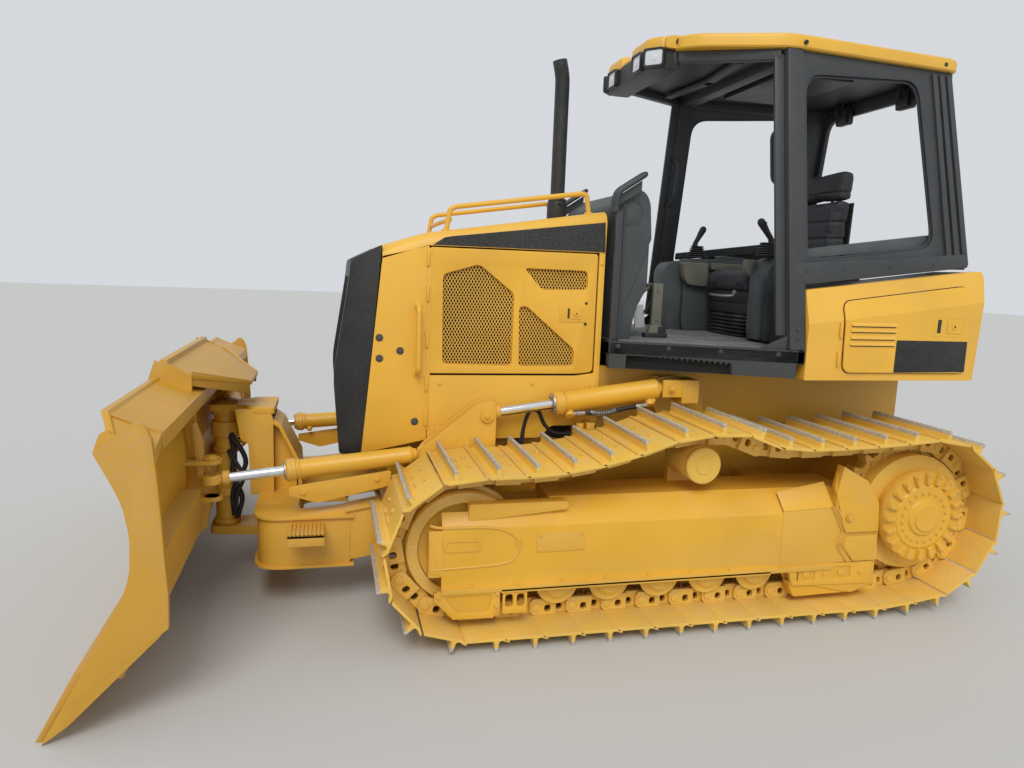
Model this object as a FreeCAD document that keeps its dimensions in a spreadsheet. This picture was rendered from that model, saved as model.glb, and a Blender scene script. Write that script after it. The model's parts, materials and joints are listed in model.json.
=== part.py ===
import FreeCAD, Part
import Sketcher
import math
import os
import re

# A tracked bulldozer with an angling and tilting front blade, an engine hood and an open
# operator station under a rollover canopy. Millimetres. +X points forward to the blade,
# +Y to the machine's left, +Z up. X and Z are first measured from the sprocket axis and
# the ground, and every sub-part is then moved by sprocket_x, so that the origin lies on
# the ground under the middle of the whole machine.

DOC = FreeCAD.newDocument("bulldozer")
SHEET = DOC.addObject("Spreadsheet::Sheet", "Sizes")

# Driving dimensions: name, value, meaning
SIZES = [
    ("sprocket_x", -1554, "place of the sprocket axis along the machine"),
    # tracks
    ("track_gauge", 1600, "distance between the middles of the two tracks"),
    ("shoe_width", 510, "width of a track shoe"),
    ("shoe_count", 39, "shoes on one track"),
    ("shoe_thickness", 12, "plate of a track shoe"),
    ("grouser_height", 48, "rib on a track shoe"),
    ("grouser_root", 26, "rib thickness at the plate"),
    ("grouser_tip", 14, "rib thickness at its tip"),
    ("pin_height", 38, "track pin above the inner face of the shoe plate"),
    ("rail_height", 37, "track pin to the rail that the rollers run on"),
    ("link_width", 40, "thickness of one strand of links"),
    ("link_gap", 76, "clear space between the two strands of links"),
    ("sprocket_rise", 23, "lowest pin of the sprocket above the pins on the ground"),
    ("sprocket_pitch_radius", 344, "circle of the track pins round the sprocket"),
    ("idler_distance", 2200, "sprocket axis to idler axis"),
    ("idler_pitch_radius", 297, "circle of the track pins round the idler"),
    ("carrier_distance", 1139, "sprocket axis to carrier roller axis"),
    ("carrier_radius", 83, "carrier roller"),
    ("carrier_flat", 130, "level run of the track to each side of that roller"),
    ("lift_off_distance", 165, "where the track leaves the ground ahead of the sprocket axis"),
    ("carrier_height", 730, "carrier roller axis above the ground"),
    ("front_sag_distance", 2040, "lowest point of the front upper run"),
    ("rear_sag_distance", 720, "lowest point of the rear upper run"),
    ("rear_sag_height", 776, "track pins at that point"),
    ("roller_count", 7, "bottom rollers on one side"),
    ("first_roller", 343, "first bottom roller ahead of the sprocket axis"),
    ("roller_step", 240, "distance between bottom rollers"),
    ("roller_radius", 80, "tread of a bottom roller"),
    ("roller_flange", 16, "flange of a bottom roller above its tread"),
    ("roller_shaft_radius", 33, "shaft ends of the rollers"),
    # track frame
    ("frame_reach_out", 157, "outer face of the roller frame from the track's middle"),
    ("frame_reach_in", 145, "inner face of the roller frame from the track's middle"),
    ("frame_crease", 500, "height of the bend in the outer face"),
    ("frame_top", 600, "top of the roller frame"),
    ("frame_skirt", 222, "lower edge of the side plates"),
    ("frame_floor", 325, "underside of the frame box over the rollers"),
    ("frame_front", 2300, "front end of the side plates"),
    ("fork_start", 1830, "where the frame opens around the idler"),
    ("cheek", 45, "thickness of the cheeks beside the idler"),
    ("box_rear", 456, "rear end of the frame box"),
    ("frame_plate", 18, "thickness of the frame's side plates"),
    # final drive
    ("hub_reach", 213, "outer face of the final drive cover from the track's middle"),
    ("hub_radius", 222, "final drive cover"),
    ("drum_radius", 282, "sprocket drum"),
    ("cover_radius", 206, "final drive housing outside the drum"),
    # main frame
    ("rail_outer", 335, "outer face of the main frame"),
    ("frame_low", 335, "ground clearance under the main frame"),
    ("frame_high", 745, "top of the main frame"),
    ("frame_nose", 2480, "front end of the main frame"),
    ("frame_tail", -330, "rear end of the main frame"),
    ("hitch_end", -555, "rear end of the drawbar"),
    # push frame and blade
    ("pivot_x", 1700, "rear pivot of the push frame"),
    ("pivot_z", 420, "height of that pivot"),
    ("arm_inner", 433, "inner face of the push arms and ears"),
    ("arm_outer", 527, "outer face of the push arms and ears"),
    ("arm_depth", 170, "height of the push arms"),
    ("ear_plate", 20, "thickness of each ear plate"),
    ("cross_rear", 2905, "rear face of the cross box between the arms"),
    ("cross_front", 3065, "front face of the cross box"),
    ("cross_nose", 380, "half width of the cross box at its front"),
    ("cross_low", 212, "underside of the cross box"),
    ("cross_high", 425, "top of the cross box"),
    ("cross_flange", 12, "flange plates above and below the cross box"),
    ("swivel_x", 3245, "vertical axis on which the blade angles"),
    ("tilt_z", 470, "lengthwise axis on which the blade tilts"),
    ("swivel_radius", 52, "vertical swivel post"),
    ("tower_high", 862, "top plate of the tower"),
    ("tower_half", 150, "half width of the tower"),
    ("tower_front", 3110, "front edges of the tower's side plates"),
    ("post_head", 75, "rounded ends of the plates that hold the swivel post"),
    ("blade_half", 1391, "half width of the blade"),
    ("blade_top", 1060, "top edge of the blade's wings"),
    ("blade_top_x", 3460, "where that edge lies"),
    ("blade_bowl_x", 3355, "rearmost line of the blade's hollow face"),
    ("blade_bowl_z", 680, "height of that line"),
    ("edge_start_x", 3392, "top of the straight lower face"),
    ("edge_start_z", 460, "height of that line"),
    ("edge_tip_x", 3640, "tip of the cutting edge"),
    ("blade_skin", 22, "thickness of the blade's face plate"),
    ("raised_top", 1133, "top of the raised middle of the blade"),
    ("raised_half", 520, "half width of the raised middle"),
    ("shoulder_drop", 105, "how far the blade's upper corners are cut down"),
    ("shoulder_run", 145, "length of those corner cuts"),
    ("end_plate", 25, "thickness of the blade's end plates"),
    ("guard_reach", 140, "rear end of the guard behind the blade's angling axis"),
    ("guard_tip_half", 170, "half width of the guard at its rear end"),
    ("guard_fall", 0.4, "slope of the guard"),
    # cylinders
    ("cylinder_y", 480, "plane of the lift and angle cylinders"),
    ("lift_ear_x", 2041, "front pin of the lift cylinder"),
    ("lift_ear_z", 886, "height of that pin"),
    ("lift_rear_x", 1124, "rear pin of the lift cylinder"),
    ("lift_rear_z", 1012, "height of that pin"),
    ("lift_barrel", 590, "length of the lift cylinder's barrel from its rear pin"),
    ("lift_radius", 48, "lift cylinder barrel"),
    ("lift_rod", 24, "lift cylinder rod"),
    ("lift_closing", 200, "how far the lift rod slides in from where it rests"),
    ("angle_rear_x", 2320, "rear pin of the angle cylinder"),
    ("angle_rear_z", 700, "height of that pin"),
    ("angle_eye_x", 3235, "rod eye of the angle cylinder"),
    ("angle_eye_y", 550, "distance of that eye from the middle"),
    ("angle_eye_z", 626, "height of that eye"),
    ("angle_barrel", 618, "length of the angle cylinder's barrel from its rear pin"),
    ("angle_radius", 39, "angle cylinder barrel"),
    ("angle_rod", 22, "angle cylinder rod"),
    ("angle_closing", 248, "how far the angle rod slides in from where it rests"),
    ("eye_thickness", 41, "thickness of the cylinders' eyes"),
    ("eye_radius", 42, "outer radius of the cylinders' eyes"),
    ("lug_gap", 144, "clear height between the lug plates on the blade"),
    ("lug_plate", 16, "thickness of the lug plates on the blade"),
    ("lug_radius", 45, "rounded ends of the lug plates"),
    ("eye_neck", 56, "flat neck of a cylinder from its pin to its tube"),
    ("pin_radius", 18, "pins of the cylinders"),
    ("pin_clearance", 0.3, "gap round a pin"),
    ("tilt_x", 3260, "plane of the tilt cylinder"),
    ("tilt_rear_y", -150, "inner pin of the tilt cylinder"),
    ("tilt_rear_z", 790, "height of that pin"),
    ("tilt_eye_y", -720, "outer eye of the tilt cylinder"),
    ("tilt_eye_z", 840, "height of that eye"),
    ("tilt_barrel", 330, "length of the tilt cylinder's barrel from its pin"),
    ("tilt_radius", 42, "tilt cylinder barrel"),
    ("tilt_rod", 20, "tilt cylinder rod"),
    ("tilt_closing", 60, "how far the tilt rod slides in from where it rests"),
    # hood
    ("hood_half", 420, "half width of the engine hood"),
    ("hood_front_x", 2518, "front end of the hood's top"),
    ("hood_front_z", 1647, "height of the hood there"),
    ("hood_hinge_x", 2311, "front edge of the engine doors"),
    ("hood_hinge_z", 1714, "height of the hood there"),
    ("hood_rear_x", 1462, "rear end of the hood"),
    ("hood_rear_z", 1851, "height of the hood there"),
    ("hood_skin", 18, "thickness of the hood's sheet and doors"),
    ("door_low", 1062, "lower edge of the engine doors"),
    ("door_rear_x", 1500, "rear edge of the engine doors"),
    ("hood_edge", 62, "depth of the hood's side edge in front of the hinges"),
    ("hood_skirt_z", 1650, "lower edge of the hood's sides above the doors"),
    ("door_gap", 6, "gap round a door"),
    ("seat_gap", 0.3, "clearance where one piece sits on another"),
    ("panel_low", 752, "lower edge of the side panels"),
    ("grille_foot_x", 2607, "rear lower corner of the grille housing"),
    ("grille_nose_x", 2732, "foremost line of the grille"),
    ("grille_nose_z", 1053, "height of that line"),
    ("grille_low", 692, "underside of the grille housing"),
    ("exhaust_x", 1585, "exhaust pipe"),
    ("exhaust_radius", 38, "outer radius of the exhaust pipe"),
    ("exhaust_top", 2530, "height where the exhaust pipe bends"),
    ("handrail_y", 323, "handrails on the hood"),
    ("handrail_radius", 12, "tube of the handrails"),
    # operator station
    ("floor_low", 1100, "underside of the platform"),
    ("floor_high", 1236, "top of the platform"),
    ("cab_front_x", 1440, "front of the platform"),
    ("cab_front_half", 470, "half width of the platform there"),
    ("pillar_x", 640, "main pillars"),
    ("pillar_foot_half", 815, "outer face of the main pillars at the platform"),
    ("pillar_head_half", 585, "outer face of the main pillars at the roof"),
    ("pillar_depth", 85, "main pillars along the machine"),
    ("pillar_width", 80, "main pillars across the machine"),
    ("rear_post_x", -335, "rear posts"),
    ("rear_post_foot_half", 715, "outer face of the rear posts at the fenders"),
    ("rear_post_head_half", 500, "outer face of the rear posts at the roof"),
    ("roof_low", 2625, "lower edge of the roof"),
    ("roof_high", 2700, "top edge of the roof's rim"),
    ("roof_front_x", 1255, "front edge of the roof"),
    ("roof_front_half", 330, "half width of the roof there"),
    ("fender_outer", 812, "outer face of the fenders"),
    ("fender_inner", 475, "inner face of the fenders"),
    ("fender_front_x", 597, "front edge of the fenders"),
    ("fender_rear_x", -365, "rear edge of the fenders"),
    ("fender_low", 1100, "lower edge of the fenders"),
    ("fender_front_z", 1515, "top of the fenders in front"),
    ("fender_rear_z", 1640, "top of the fenders behind"),
    ("service_door_sheet", 13, "outer face of the service doors above the fenders"),
    ("seat_x", 330, "middle of the seat"),
    ("seat_top", 1600, "top of the seat cushion"),
    ("rail_drop", 95, "middle of the canopy's lower rail above the fenders"),
    ("visor_depth", 80, "lamp housing below the front of the roof"),
    ("visor_corner", 66, "bevelled corners of that housing"),
    ("lamp_depth", 14, "thickness of the front lamps"),
    ("visor_length", 100, "that housing along the machine"),
    ("fender_lean", 45, "how far the fenders' upper panels lean in"),
    ("fender_crease", 160, "crease of the fenders below their top"),
    ("fender_chamfer", 15, "bevel along the fenders' upper outer edge"),
    ("dash_half", 400, "half width of the dash cowl"),
    ("hood_rail_front", 2210, "front post of the hood's handrails"),
    ("hood_rail_rear", 1560, "rear post of the hood's handrails"),
    ("hood_rail_rise", 82, "those handrails above the hood"),
]
# Sizes that follow from others: name, formula, meaning
DERIVED = [
    ("sprocket_height", "sprocket_rise + grouser_height + shoe_thickness + pin_height + sprocket_pitch_radius",
     "sprocket axis above the ground"),
    ("frame_outer", "track_gauge / 2 + frame_reach_out", "outer face of the roller frame from the middle"),
    ("frame_inner", "track_gauge / 2 - frame_reach_in", "inner face of the roller frame from the middle"),
    ("hub_outer", "track_gauge / 2 + hub_reach", "outer face of the final drive cover"),
]
for row, (alias, value, meaning) in enumerate(SIZES + DERIVED, start=1):
    SHEET.set("A%d" % row, meaning)
    SHEET.set("B%d" % row, str(value) if row <= len(SIZES) else "=" + value)
    SHEET.setAlias("B%d" % row, alias)
DOC.recompute()

WORDS = {alias for alias, value, meaning in SIZES + DERIVED}
AXIS_TURN = {
    "X": FreeCAD.Rotation(FreeCAD.Vector(0, 1, 0), 90),
    "Y": FreeCAD.Rotation(FreeCAD.Vector(1, 0, 0), -90),
    "Z": FreeCAD.Rotation(),
}
NODES = []


def size(name):
    """The value of one named size."""
    return float(SHEET.get(name))


def bound(text):
    """An expression in named sizes, with each name pointed at the sheet."""
    return re.sub(r"[a-z_]\w*", lambda found: "Sizes." + found.group(0)
                  if found.group(0) in WORDS else found.group(0), str(text))


PROBE = DOC.addObject("Part::Box", "probe")


def number(text):
    """What an expression in named sizes gives now."""
    return float(PROBE.evalExpression(bound(text)))


def box(name, along, across, height):
    """A block from its low and high places along X, Y and Z."""
    part = DOC.addObject("Part::Box", name)
    part.setExpression("Length", bound("(%s) - (%s)" % (along[1], along[0])))
    part.setExpression("Width", bound("(%s) - (%s)" % (across[1], across[0])))
    part.setExpression("Height", bound("(%s) - (%s)" % (height[1], height[0])))
    part.setExpression("Placement.Base.x", bound(along[0]))
    part.setExpression("Placement.Base.y", bound(across[0]))
    part.setExpression("Placement.Base.z", bound(height[0]))
    return part


def rod(name, axis, place, low, high, radius):
    """A round bar along X, Y or Z; place gives its other two coordinates in order."""
    part = DOC.addObject("Part::Cylinder", name)
    part.Placement = FreeCAD.Placement(FreeCAD.Vector(), AXIS_TURN[axis])
    part.setExpression("Radius", bound(radius))
    part.setExpression("Height", bound("(%s) - (%s)" % (high, low)))
    places = dict(zip([letter for letter in "XYZ" if letter != axis], place))
    places[axis] = low
    for letter in "XYZ":
        part.setExpression("Placement.Base.%s" % letter.lower(), bound(places[letter]))
    return part


def prism(name, plane, corners, low, high):
    """A plate whose outline is sketched in XZ, YZ or XY and padded from low to high."""
    body = DOC.addObject("PartDesign::Body", name)
    sketch = body.newObject("Sketcher::SketchObject", name + "_outline")
    face = [item for item in body.Origin.OriginFeatures if item.Role == plane + "_Plane"][0]
    sketch.AttachmentSupport = [(face, "")]
    sketch.MapMode = "FlatFace"
    points = [FreeCAD.Vector(number(first), number(second), 0) for first, second in corners]
    count = len(points)
    for index in range(count):
        sketch.addGeometry(Part.LineSegment(points[index], points[(index + 1) % count]), False)
    for index in range(count):
        sketch.addConstraint(Sketcher.Constraint("Coincident", index, 2, (index + 1) % count, 1))
    for index, (first, second) in enumerate(corners):
        for kind, text, now in (("DistanceX", first, points[index].x), ("DistanceY", second, points[index].y)):
            place = sketch.addConstraint(Sketcher.Constraint(kind, -1, 1, index, 1, now))
            if any(word in str(text) for word in WORDS):
                sketch.setExpression("Constraints[%d]" % place, bound(text))
    pad = body.newObject("PartDesign::Pad", name + "_pad")
    pad.Profile = sketch
    pad.setExpression("Length", bound("(%s) - (%s)" % (high, low)))
    letter = {"XZ": "y", "YZ": "x", "XY": "z"}[plane]
    body.setExpression("Placement.Base.%s" % letter, bound(high if plane == "XZ" else low))
    return body


def fuse(name, *parts):
    """Several overlapping solids joined into one."""
    joined = DOC.addObject("Part::MultiFuse", name)
    joined.Shapes = list(parts)
    return joined


def cut(name, base, *tools):
    """A solid with others taken out of it."""
    tool = tools[0] if len(tools) == 1 else fuse(name + "_tools", *tools)
    result = DOC.addObject("Part::Cut", name)
    result.Base = base
    result.Tool = tool
    return result


def mirror(name, source):
    """The same piece on the machine's right side."""
    copy = DOC.addObject("Part::Mirroring", name)
    copy.Source = source
    copy.Normal = FreeCAD.Vector(0, 1, 0)
    return copy


def shaped(name, shape):
    """A sub-part whose shape is worked out from the sheet in code."""
    feature = DOC.addObject("Part::Feature", name)
    feature.Shape = shape
    return feature


def node(label, *parts):
    """One named sub-part of the machine, moved to its place in the part's frame."""
    group = DOC.addObject("Part::Compound", label + "_node")
    group.Links = list(parts)
    group.Label = label
    group.setExpression("Placement.Base.x", "Sizes.sprocket_x")
    NODES.append(group)


def both(name, *parts):
    """The left pieces and their mirror images, as nodes NAME_left and NAME_right."""
    node(name + "_left", *parts)
    node(name + "_right", *[mirror("%s_%d_right" % (name, order), part)
                            for order, part in enumerate(parts)])


def pair(name, *parts):
    """The left pieces and their mirror images, all in one list."""
    return list(parts) + [mirror("%s_%d_far" % (name, order), part)
                          for order, part in enumerate(parts)]


# Track loop: the pins lie on a closed path of a flat ground run, an arc round the
# sprocket, two sagging upper runs that meet on the carrier roller, and an arc round
# the idler. Shoes are bolted outside that path and the rails run inside it.
GROUND_PIN = size("grouser_height") + size("shoe_thickness") + size("pin_height")
IDLER_Z = GROUND_PIN + size("idler_pitch_radius")
CARRIER_PIN = size("carrier_height") + size("carrier_radius") + size("rail_height")


def arc_points(centre_x, centre_z, radius, start, end, steps):
    """Points on a circle from one direction to another, in degrees."""
    turns = [math.radians(start + (end - start) * step / steps) for step in range(steps + 1)]
    return [(centre_x + radius * math.cos(turn), centre_z + radius * math.sin(turn)) for turn in turns]


def sag_points(low_x, low_z, end_x, end_z, steps):
    """Points on a parabola from its lowest point to an end."""
    shares = [step / steps for step in range(steps + 1)]
    return [(low_x + (end_x - low_x) * share, low_z + (end_z - low_z) * share ** 2) for share in shares]


def track_path():
    """The closed path of the track pins, as many short steps."""
    steps = 24
    sprocket_z = size("sprocket_height")
    radius = size("sprocket_pitch_radius")
    idler_x = size("idler_distance")
    idler_radius = size("idler_pitch_radius")
    rise = sprocket_z - radius - GROUND_PIN
    lift_run = size("lift_off_distance")
    path = [(idler_x, GROUND_PIN), (lift_run, GROUND_PIN)]
    path += arc_points(0, sprocket_z, radius, 270 - math.degrees(rise / lift_run) * 2, 90, steps * 2)[1:]
    top = sprocket_z + radius
    rear_low = (size("rear_sag_distance"), size("rear_sag_height"))
    path += list(reversed(sag_points(rear_low[0], rear_low[1], 0, top, steps)))[1:]
    flat = size("carrier_flat")
    path += sag_points(rear_low[0], rear_low[1], size("carrier_distance") - flat, CARRIER_PIN, steps)[1:]
    front_low = (size("front_sag_distance"), IDLER_Z + idler_radius)
    path += list(reversed(sag_points(front_low[0], front_low[1], size("carrier_distance") + flat, CARRIER_PIN, steps)))
    path += arc_points(idler_x, IDLER_Z, idler_radius, 90, -90, steps * 2)[:-1]
    return path


def even_points(path, count):
    """Points at equal distances round a closed path."""
    closed = path + [path[0]]
    lengths = [math.dist(closed[i], closed[i + 1]) for i in range(len(path))]
    step = sum(lengths) / count
    points = []
    walked = 0.0
    for index, length in enumerate(lengths):
        while len(points) < count and walked + length > step * len(points) - 1e-9:
            share = (step * len(points) - walked) / length
            first, second = closed[index], closed[index + 1]
            points.append((first[0] + (second[0] - first[0]) * share,
                           first[1] + (second[1] - first[1]) * share))
        walked += length
    return points


def plate_between(outline, low, high):
    """A solid between two widths whose outline lies in the XZ plane."""
    corners = [FreeCAD.Vector(x, low, z) for x, z in outline]
    face = Part.Face(Part.makePolygon(corners + corners[:1]))
    return face.extrude(FreeCAD.Vector(0, high - low, 0))


def track_shape():
    """One whole track: shoes with their ribs, and two strands of links."""
    pins = even_points(track_path(), int(size("shoe_count")))
    count = len(pins)
    inner = size("pin_height")
    outer = inner + size("shoe_thickness")
    tip = outer + size("grouser_height")
    root_half = size("grouser_root") / 2
    tip_half = size("grouser_tip") / 2
    rib_at = 0.72
    shoe_outer = []
    shoe_inner = []
    rail = []
    for index in range(count):
        first, second = pins[index], pins[(index + 1) % count]
        before = pins[index - 1]
        length = math.dist(first, second)
        along = ((second[0] - first[0]) / length, (second[1] - first[1]) / length)
        out = (-along[1], along[0])
        def at(distance, height):
            return (first[0] + along[0] * distance + out[0] * height,
                    first[1] + along[1] * distance + out[1] * height)
        rib = rib_at * length
        shoe_outer += [at(0.05 * length, outer), at(rib - root_half, outer), at(rib - tip_half, tip),
                       at(rib + tip_half, tip), at(rib + root_half, outer), at(0.95 * length, outer)]
        through = (second[0] - before[0], second[1] - before[1])
        scale = math.hypot(*through)
        normal = (-through[1] / scale, through[0] / scale)
        shoe_inner.append((first[0] + normal[0] * inner, first[1] + normal[1] * inner))
        rail.append((first[0] - normal[0] * size("rail_height"), first[1] - normal[1] * size("rail_height")))
    middle = size("track_gauge") / 2
    shoes = plate_between(shoe_outer, middle - size("shoe_width") / 2, middle + size("shoe_width") / 2)
    hollow = plate_between(shoe_inner, middle - size("shoe_width"), middle + size("shoe_width"))
    shoes = shoes.cut(hollow)
    strands = []
    for side in (-1, 1):
        near = middle + side * size("link_gap") / 2
        far = near + side * size("link_width")
        strand = plate_between(shoe_inner, min(near, far), max(near, far))
        strands.append(strand.cut(plate_between(rail, min(near, far) - 10, max(near, far) + 10)))
    return shoes.fuse(strands).removeSplitter()


both("track", shaped("track_loop", track_shape()))
PATH = track_path()
LINK_PITCH = sum(math.dist(PATH[i - 1], PATH[i]) for i in range(len(PATH))) / size("shoe_count")
LINK_ROW = len(SIZES) + len(DERIVED) + 1
SHEET.set("A%d" % LINK_ROW, "length of one link, from the path and the shoe count")
SHEET.set("B%d" % LINK_ROW, "%.3f" % LINK_PITCH)
SHEET.setAlias("B%d" % LINK_ROW, "link_pitch")
WORDS.add("link_pitch")
DOC.recompute()

# Track roller frame, left side: a box beside and over the rollers that opens into two
# cheeks around the idler, with a forged block behind it and guards below.
frame_box = prism("roller_frame_box", "YZ",
                  [("frame_inner", "frame_floor"), ("frame_inner", "frame_top"),
                   ("frame_outer - 85", "frame_top"), ("frame_outer", "frame_crease"),
                   ("frame_outer", "frame_skirt"), ("frame_outer - frame_plate", "frame_skirt"),
                   ("frame_outer - frame_plate", "frame_floor")],
                  "box_rear", "fork_start")
outer_cheek = prism("outer_cheek", "YZ",
                    [("frame_outer - cheek", "frame_floor"), ("frame_outer - cheek", "frame_crease + 60"),
                     ("frame_outer", "frame_crease"), ("frame_outer", "frame_skirt"),
                     ("frame_outer - frame_plate", "frame_skirt"),
                     ("frame_outer - frame_plate", "frame_floor")],
                    "fork_start - 5", "frame_front")
inner_cheek = box("inner_cheek", ("fork_start - 5", "frame_front"), ("frame_inner", "frame_inner + cheek"),
                  ("frame_skirt", "frame_crease + 60"))
inner_skirt = box("inner_skirt", ("box_rear", "fork_start"), ("frame_inner", "frame_inner + frame_plate"),
                  ("frame_skirt", "frame_floor + 5"))
nose = box("frame_nose_plate", ("frame_front - 5", "frame_front + 55"), ("frame_outer - cheek", "frame_outer"),
           ("frame_skirt + 75", "frame_crease - 5"))
rear_block = prism("frame_rear_block", "XZ",
                   [("box_rear + 5", "frame_skirt + 30"), ("box_rear - 240", "frame_skirt + 30"),
                    ("box_rear - 240", "frame_crease - 45"), ("box_rear - 160", "frame_crease + 140"),
                    ("box_rear - 20", "frame_crease + 215"), ("box_rear + 5", "frame_crease + 100")],
                   "frame_outer - 50", "frame_outer")
rear_inner = box("frame_rear_inner", ("sprocket_pitch_radius + 20", "box_rear + 5"), ("frame_inner", "frame_outer - 45"),
                 ("frame_floor", "frame_top"))
front_guard = prism("front_roller_guard", "XZ",
                    [("frame_front + 20", "frame_skirt + 10"), ("frame_front + 20", "frame_skirt - 20"),
                     ("frame_front - 60", "frame_skirt - 110"), ("frame_front - 250", "frame_skirt - 110"),
                     ("frame_front - 250", "frame_skirt + 10")],
                    "frame_outer - frame_plate", "frame_outer")
rear_guard = prism("rear_roller_guard", "XZ",
                   [("box_rear + 170", "frame_skirt + 10"), ("box_rear + 170", "frame_skirt - 62"),
                    ("box_rear - 120", "frame_skirt - 125"), ("box_rear - 240", "frame_skirt - 90"),
                    ("box_rear - 240", "frame_skirt + 40")],
                   "frame_outer - frame_plate", "frame_outer")
carrier_post = box("carrier_post", ("carrier_distance - 60", "carrier_distance + 60"),
                   ("frame_inner + 10", "frame_inner + 50"), ("frame_top - 5", "carrier_height + 40"))
skirt_strip = box("frame_skirt_strip", ("box_rear", "frame_front"), ("frame_outer - 5", "frame_outer + 12"),
                  ("frame_skirt", "frame_skirt + 24"))
roller_frame = fuse("roller_frame_left_solid", frame_box, outer_cheek, inner_cheek, inner_skirt, skirt_strip, nose,
                    rear_block, rear_inner, front_guard, rear_guard, carrier_post)
node("track_frames", *pair("track_frame", roller_frame))

# Idler, left side
track_middle = "track_gauge / 2"
idler_z = "grouser_height + shoe_thickness + pin_height + idler_pitch_radius"
idler_rim = rod("idler_rim", "Y", ("idler_distance", idler_z), track_middle + " - 90", track_middle + " + 90",
                "sqrt(idler_pitch_radius ^ 2 - link_pitch ^ 2 / 4) - rail_height - 0.5")
idler_guide = rod("idler_guide", "Y", ("idler_distance", idler_z), track_middle + " - link_gap / 2 + 2",
                  track_middle + " + link_gap / 2 - 2", "sqrt(idler_pitch_radius ^ 2 - link_pitch ^ 2 / 4) - rail_height + 18")
idler_shaft = rod("idler_shaft", "Y", ("idler_distance", idler_z), "frame_inner + cheek + 0.3",
                  "frame_outer - cheek - 0.3", "48")
idler = fuse("idler_left_solid", idler_rim, idler_guide, idler_shaft)
node("idlers", *pair("idler", idler))

# Bottom rollers and carrier roller, left side
roller_z = "grouser_height + shoe_thickness + pin_height + rail_height + roller_radius + 0.5"
rollers = []
for order in range(int(size("roller_count"))):
    place = ("first_roller + %d * roller_step" % order, roller_z)
    middle = rod("roller_middle_%d" % order, "Y", place, track_middle + " - 84", track_middle + " + 84", "56")
    treads = [rod("roller_tread_%d_%d" % (order, side), "Y", place,
                  track_middle + " + %d * 63 - 22" % side, track_middle + " + %d * 63 + 22" % side,
                  "roller_radius") for side in (-1, 1)]
    flanges = [rod("roller_flange_%d_%d" % (order, side), "Y", place,
                   track_middle + " + %d * 92 - 8" % side, track_middle + " + %d * 92 + 8" % side,
                   "roller_radius + roller_flange") for side in (-1, 1)]
    shaft = rod("roller_shaft_%d" % order, "Y", place, "frame_inner + frame_plate + 0.3",
                "frame_outer - frame_plate - 0.3", "roller_shaft_radius")
    rollers.append(fuse("bottom_roller_%d" % order, middle, *treads, *flanges, shaft))
node("bottom_rollers", *pair("rollers", *rollers))
carrier = fuse("carrier_roller_solid",
               rod("carrier_tread", "Y", ("carrier_distance", "carrier_height"), track_middle + " - 90",
                   track_middle + " + 90", "carrier_radius - 0.5"),
               rod("carrier_shaft", "Y", ("carrier_distance", "carrier_height"), "frame_inner + 50.3",
                   track_middle + " + 130", "32"),
               rod("carrier_cap", "Y", ("carrier_distance", "carrier_height"), track_middle + " + 112",
                   track_middle + " + 130", "carrier_radius"))
node("carrier_rollers", *pair("carrier", carrier))


# Sprocket with its drum and teeth, left side
def sprocket_shape():
    """The toothed ring: one tooth for each half pitch round the pin circle."""
    teeth = 25
    root = size("sprocket_pitch_radius") - 34
    crown = size("sprocket_pitch_radius") + 2
    outline = []
    for tooth in range(teeth):
        for share, radius in ((0.0, root), (0.22, root), (0.42, crown), (0.58, crown), (0.78, root)):
            turn = 2 * math.pi * (tooth + share) / teeth
            outline.append((radius * math.cos(turn), size("sprocket_height") + radius * math.sin(turn)))
    middle = size("track_gauge") / 2
    return plate_between(outline, middle - 30, middle + 30)


ring = shaped("sprocket_teeth", sprocket_shape())
drum = rod("sprocket_drum", "Y", ("0", "sprocket_height"), track_middle + " - 60", track_middle + " + 105",
           "drum_radius")
sprocket = fuse("sprocket_left_solid", ring, drum)
node("sprockets", *pair("sprocket", sprocket))
cover = rod("final_drive_cover", "Y", ("0", "sprocket_height"), track_middle + " + 105.3", "hub_outer - 30",
            "cover_radius")
cover_face = rod("final_drive_face", "Y", ("0", "sprocket_height"), "hub_outer - 42", "hub_outer - 8", "hub_radius")
cover_boss = rod("final_drive_boss", "Y", ("0", "sprocket_height"), "hub_outer - 9", "hub_outer", "68")
final_drive = fuse("final_drive_cover_solid", cover, cover_face, cover_boss)
node("final_drive_covers", *pair("final_drive", final_drive))

# Main frame: a deep trough between the tracks with cross tubes to the roller frames,
# final drive housings, cylinder brackets, and a drawbar behind.
trough = box("frame_trough", ("frame_tail", "frame_nose"), ("-rail_outer", "rail_outer"), ("frame_low", "frame_high"))
trough_hollow = box("frame_hollow", ("frame_tail + 630", "frame_nose - 120"), ("-rail_outer + 60", "rail_outer - 60"),
                    ("frame_low + 40", "frame_high + 10"))
trough_body = cut("frame_trough_body", trough, trough_hollow)
case = box("rear_case", ("frame_tail", "fender_front_x - 77"), ("-rail_outer", "rail_outer"), ("frame_high - 5", "floor_low - seat_gap"))
front_tie = box("front_cross_tie", ("pivot_x - 320", "pivot_x - 200"), ("-frame_inner", "frame_inner"), ("frame_low + 30", "frame_low + 180"))
rear_tie = box("rear_cross_tie", ("first_roller + 137", "first_roller + 297"), ("-frame_inner", "frame_inner"), ("frame_low + 20", "frame_low + 210"))
drive_tube = rod("final_drive_tube", "Y", ("0", "sprocket_height"), "-track_gauge / 2 + 60.3",
                 "track_gauge / 2 - 60.3", "190")
drawbar = box("drawbar", ("hitch_end", "frame_tail + 5"), ("-110", "110"), ("frame_low + 25", "frame_low + 75"))
drawbar_bore = rod("drawbar_bore", "Z", ("hitch_end + 70", "0"), "frame_low + 20", "frame_low + 80", "24")
drawbar_top = box("drawbar_top", ("hitch_end + 120", "frame_tail + 5"), ("-150", "150"), ("frame_low + 75", "frame_low + 200"))
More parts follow.
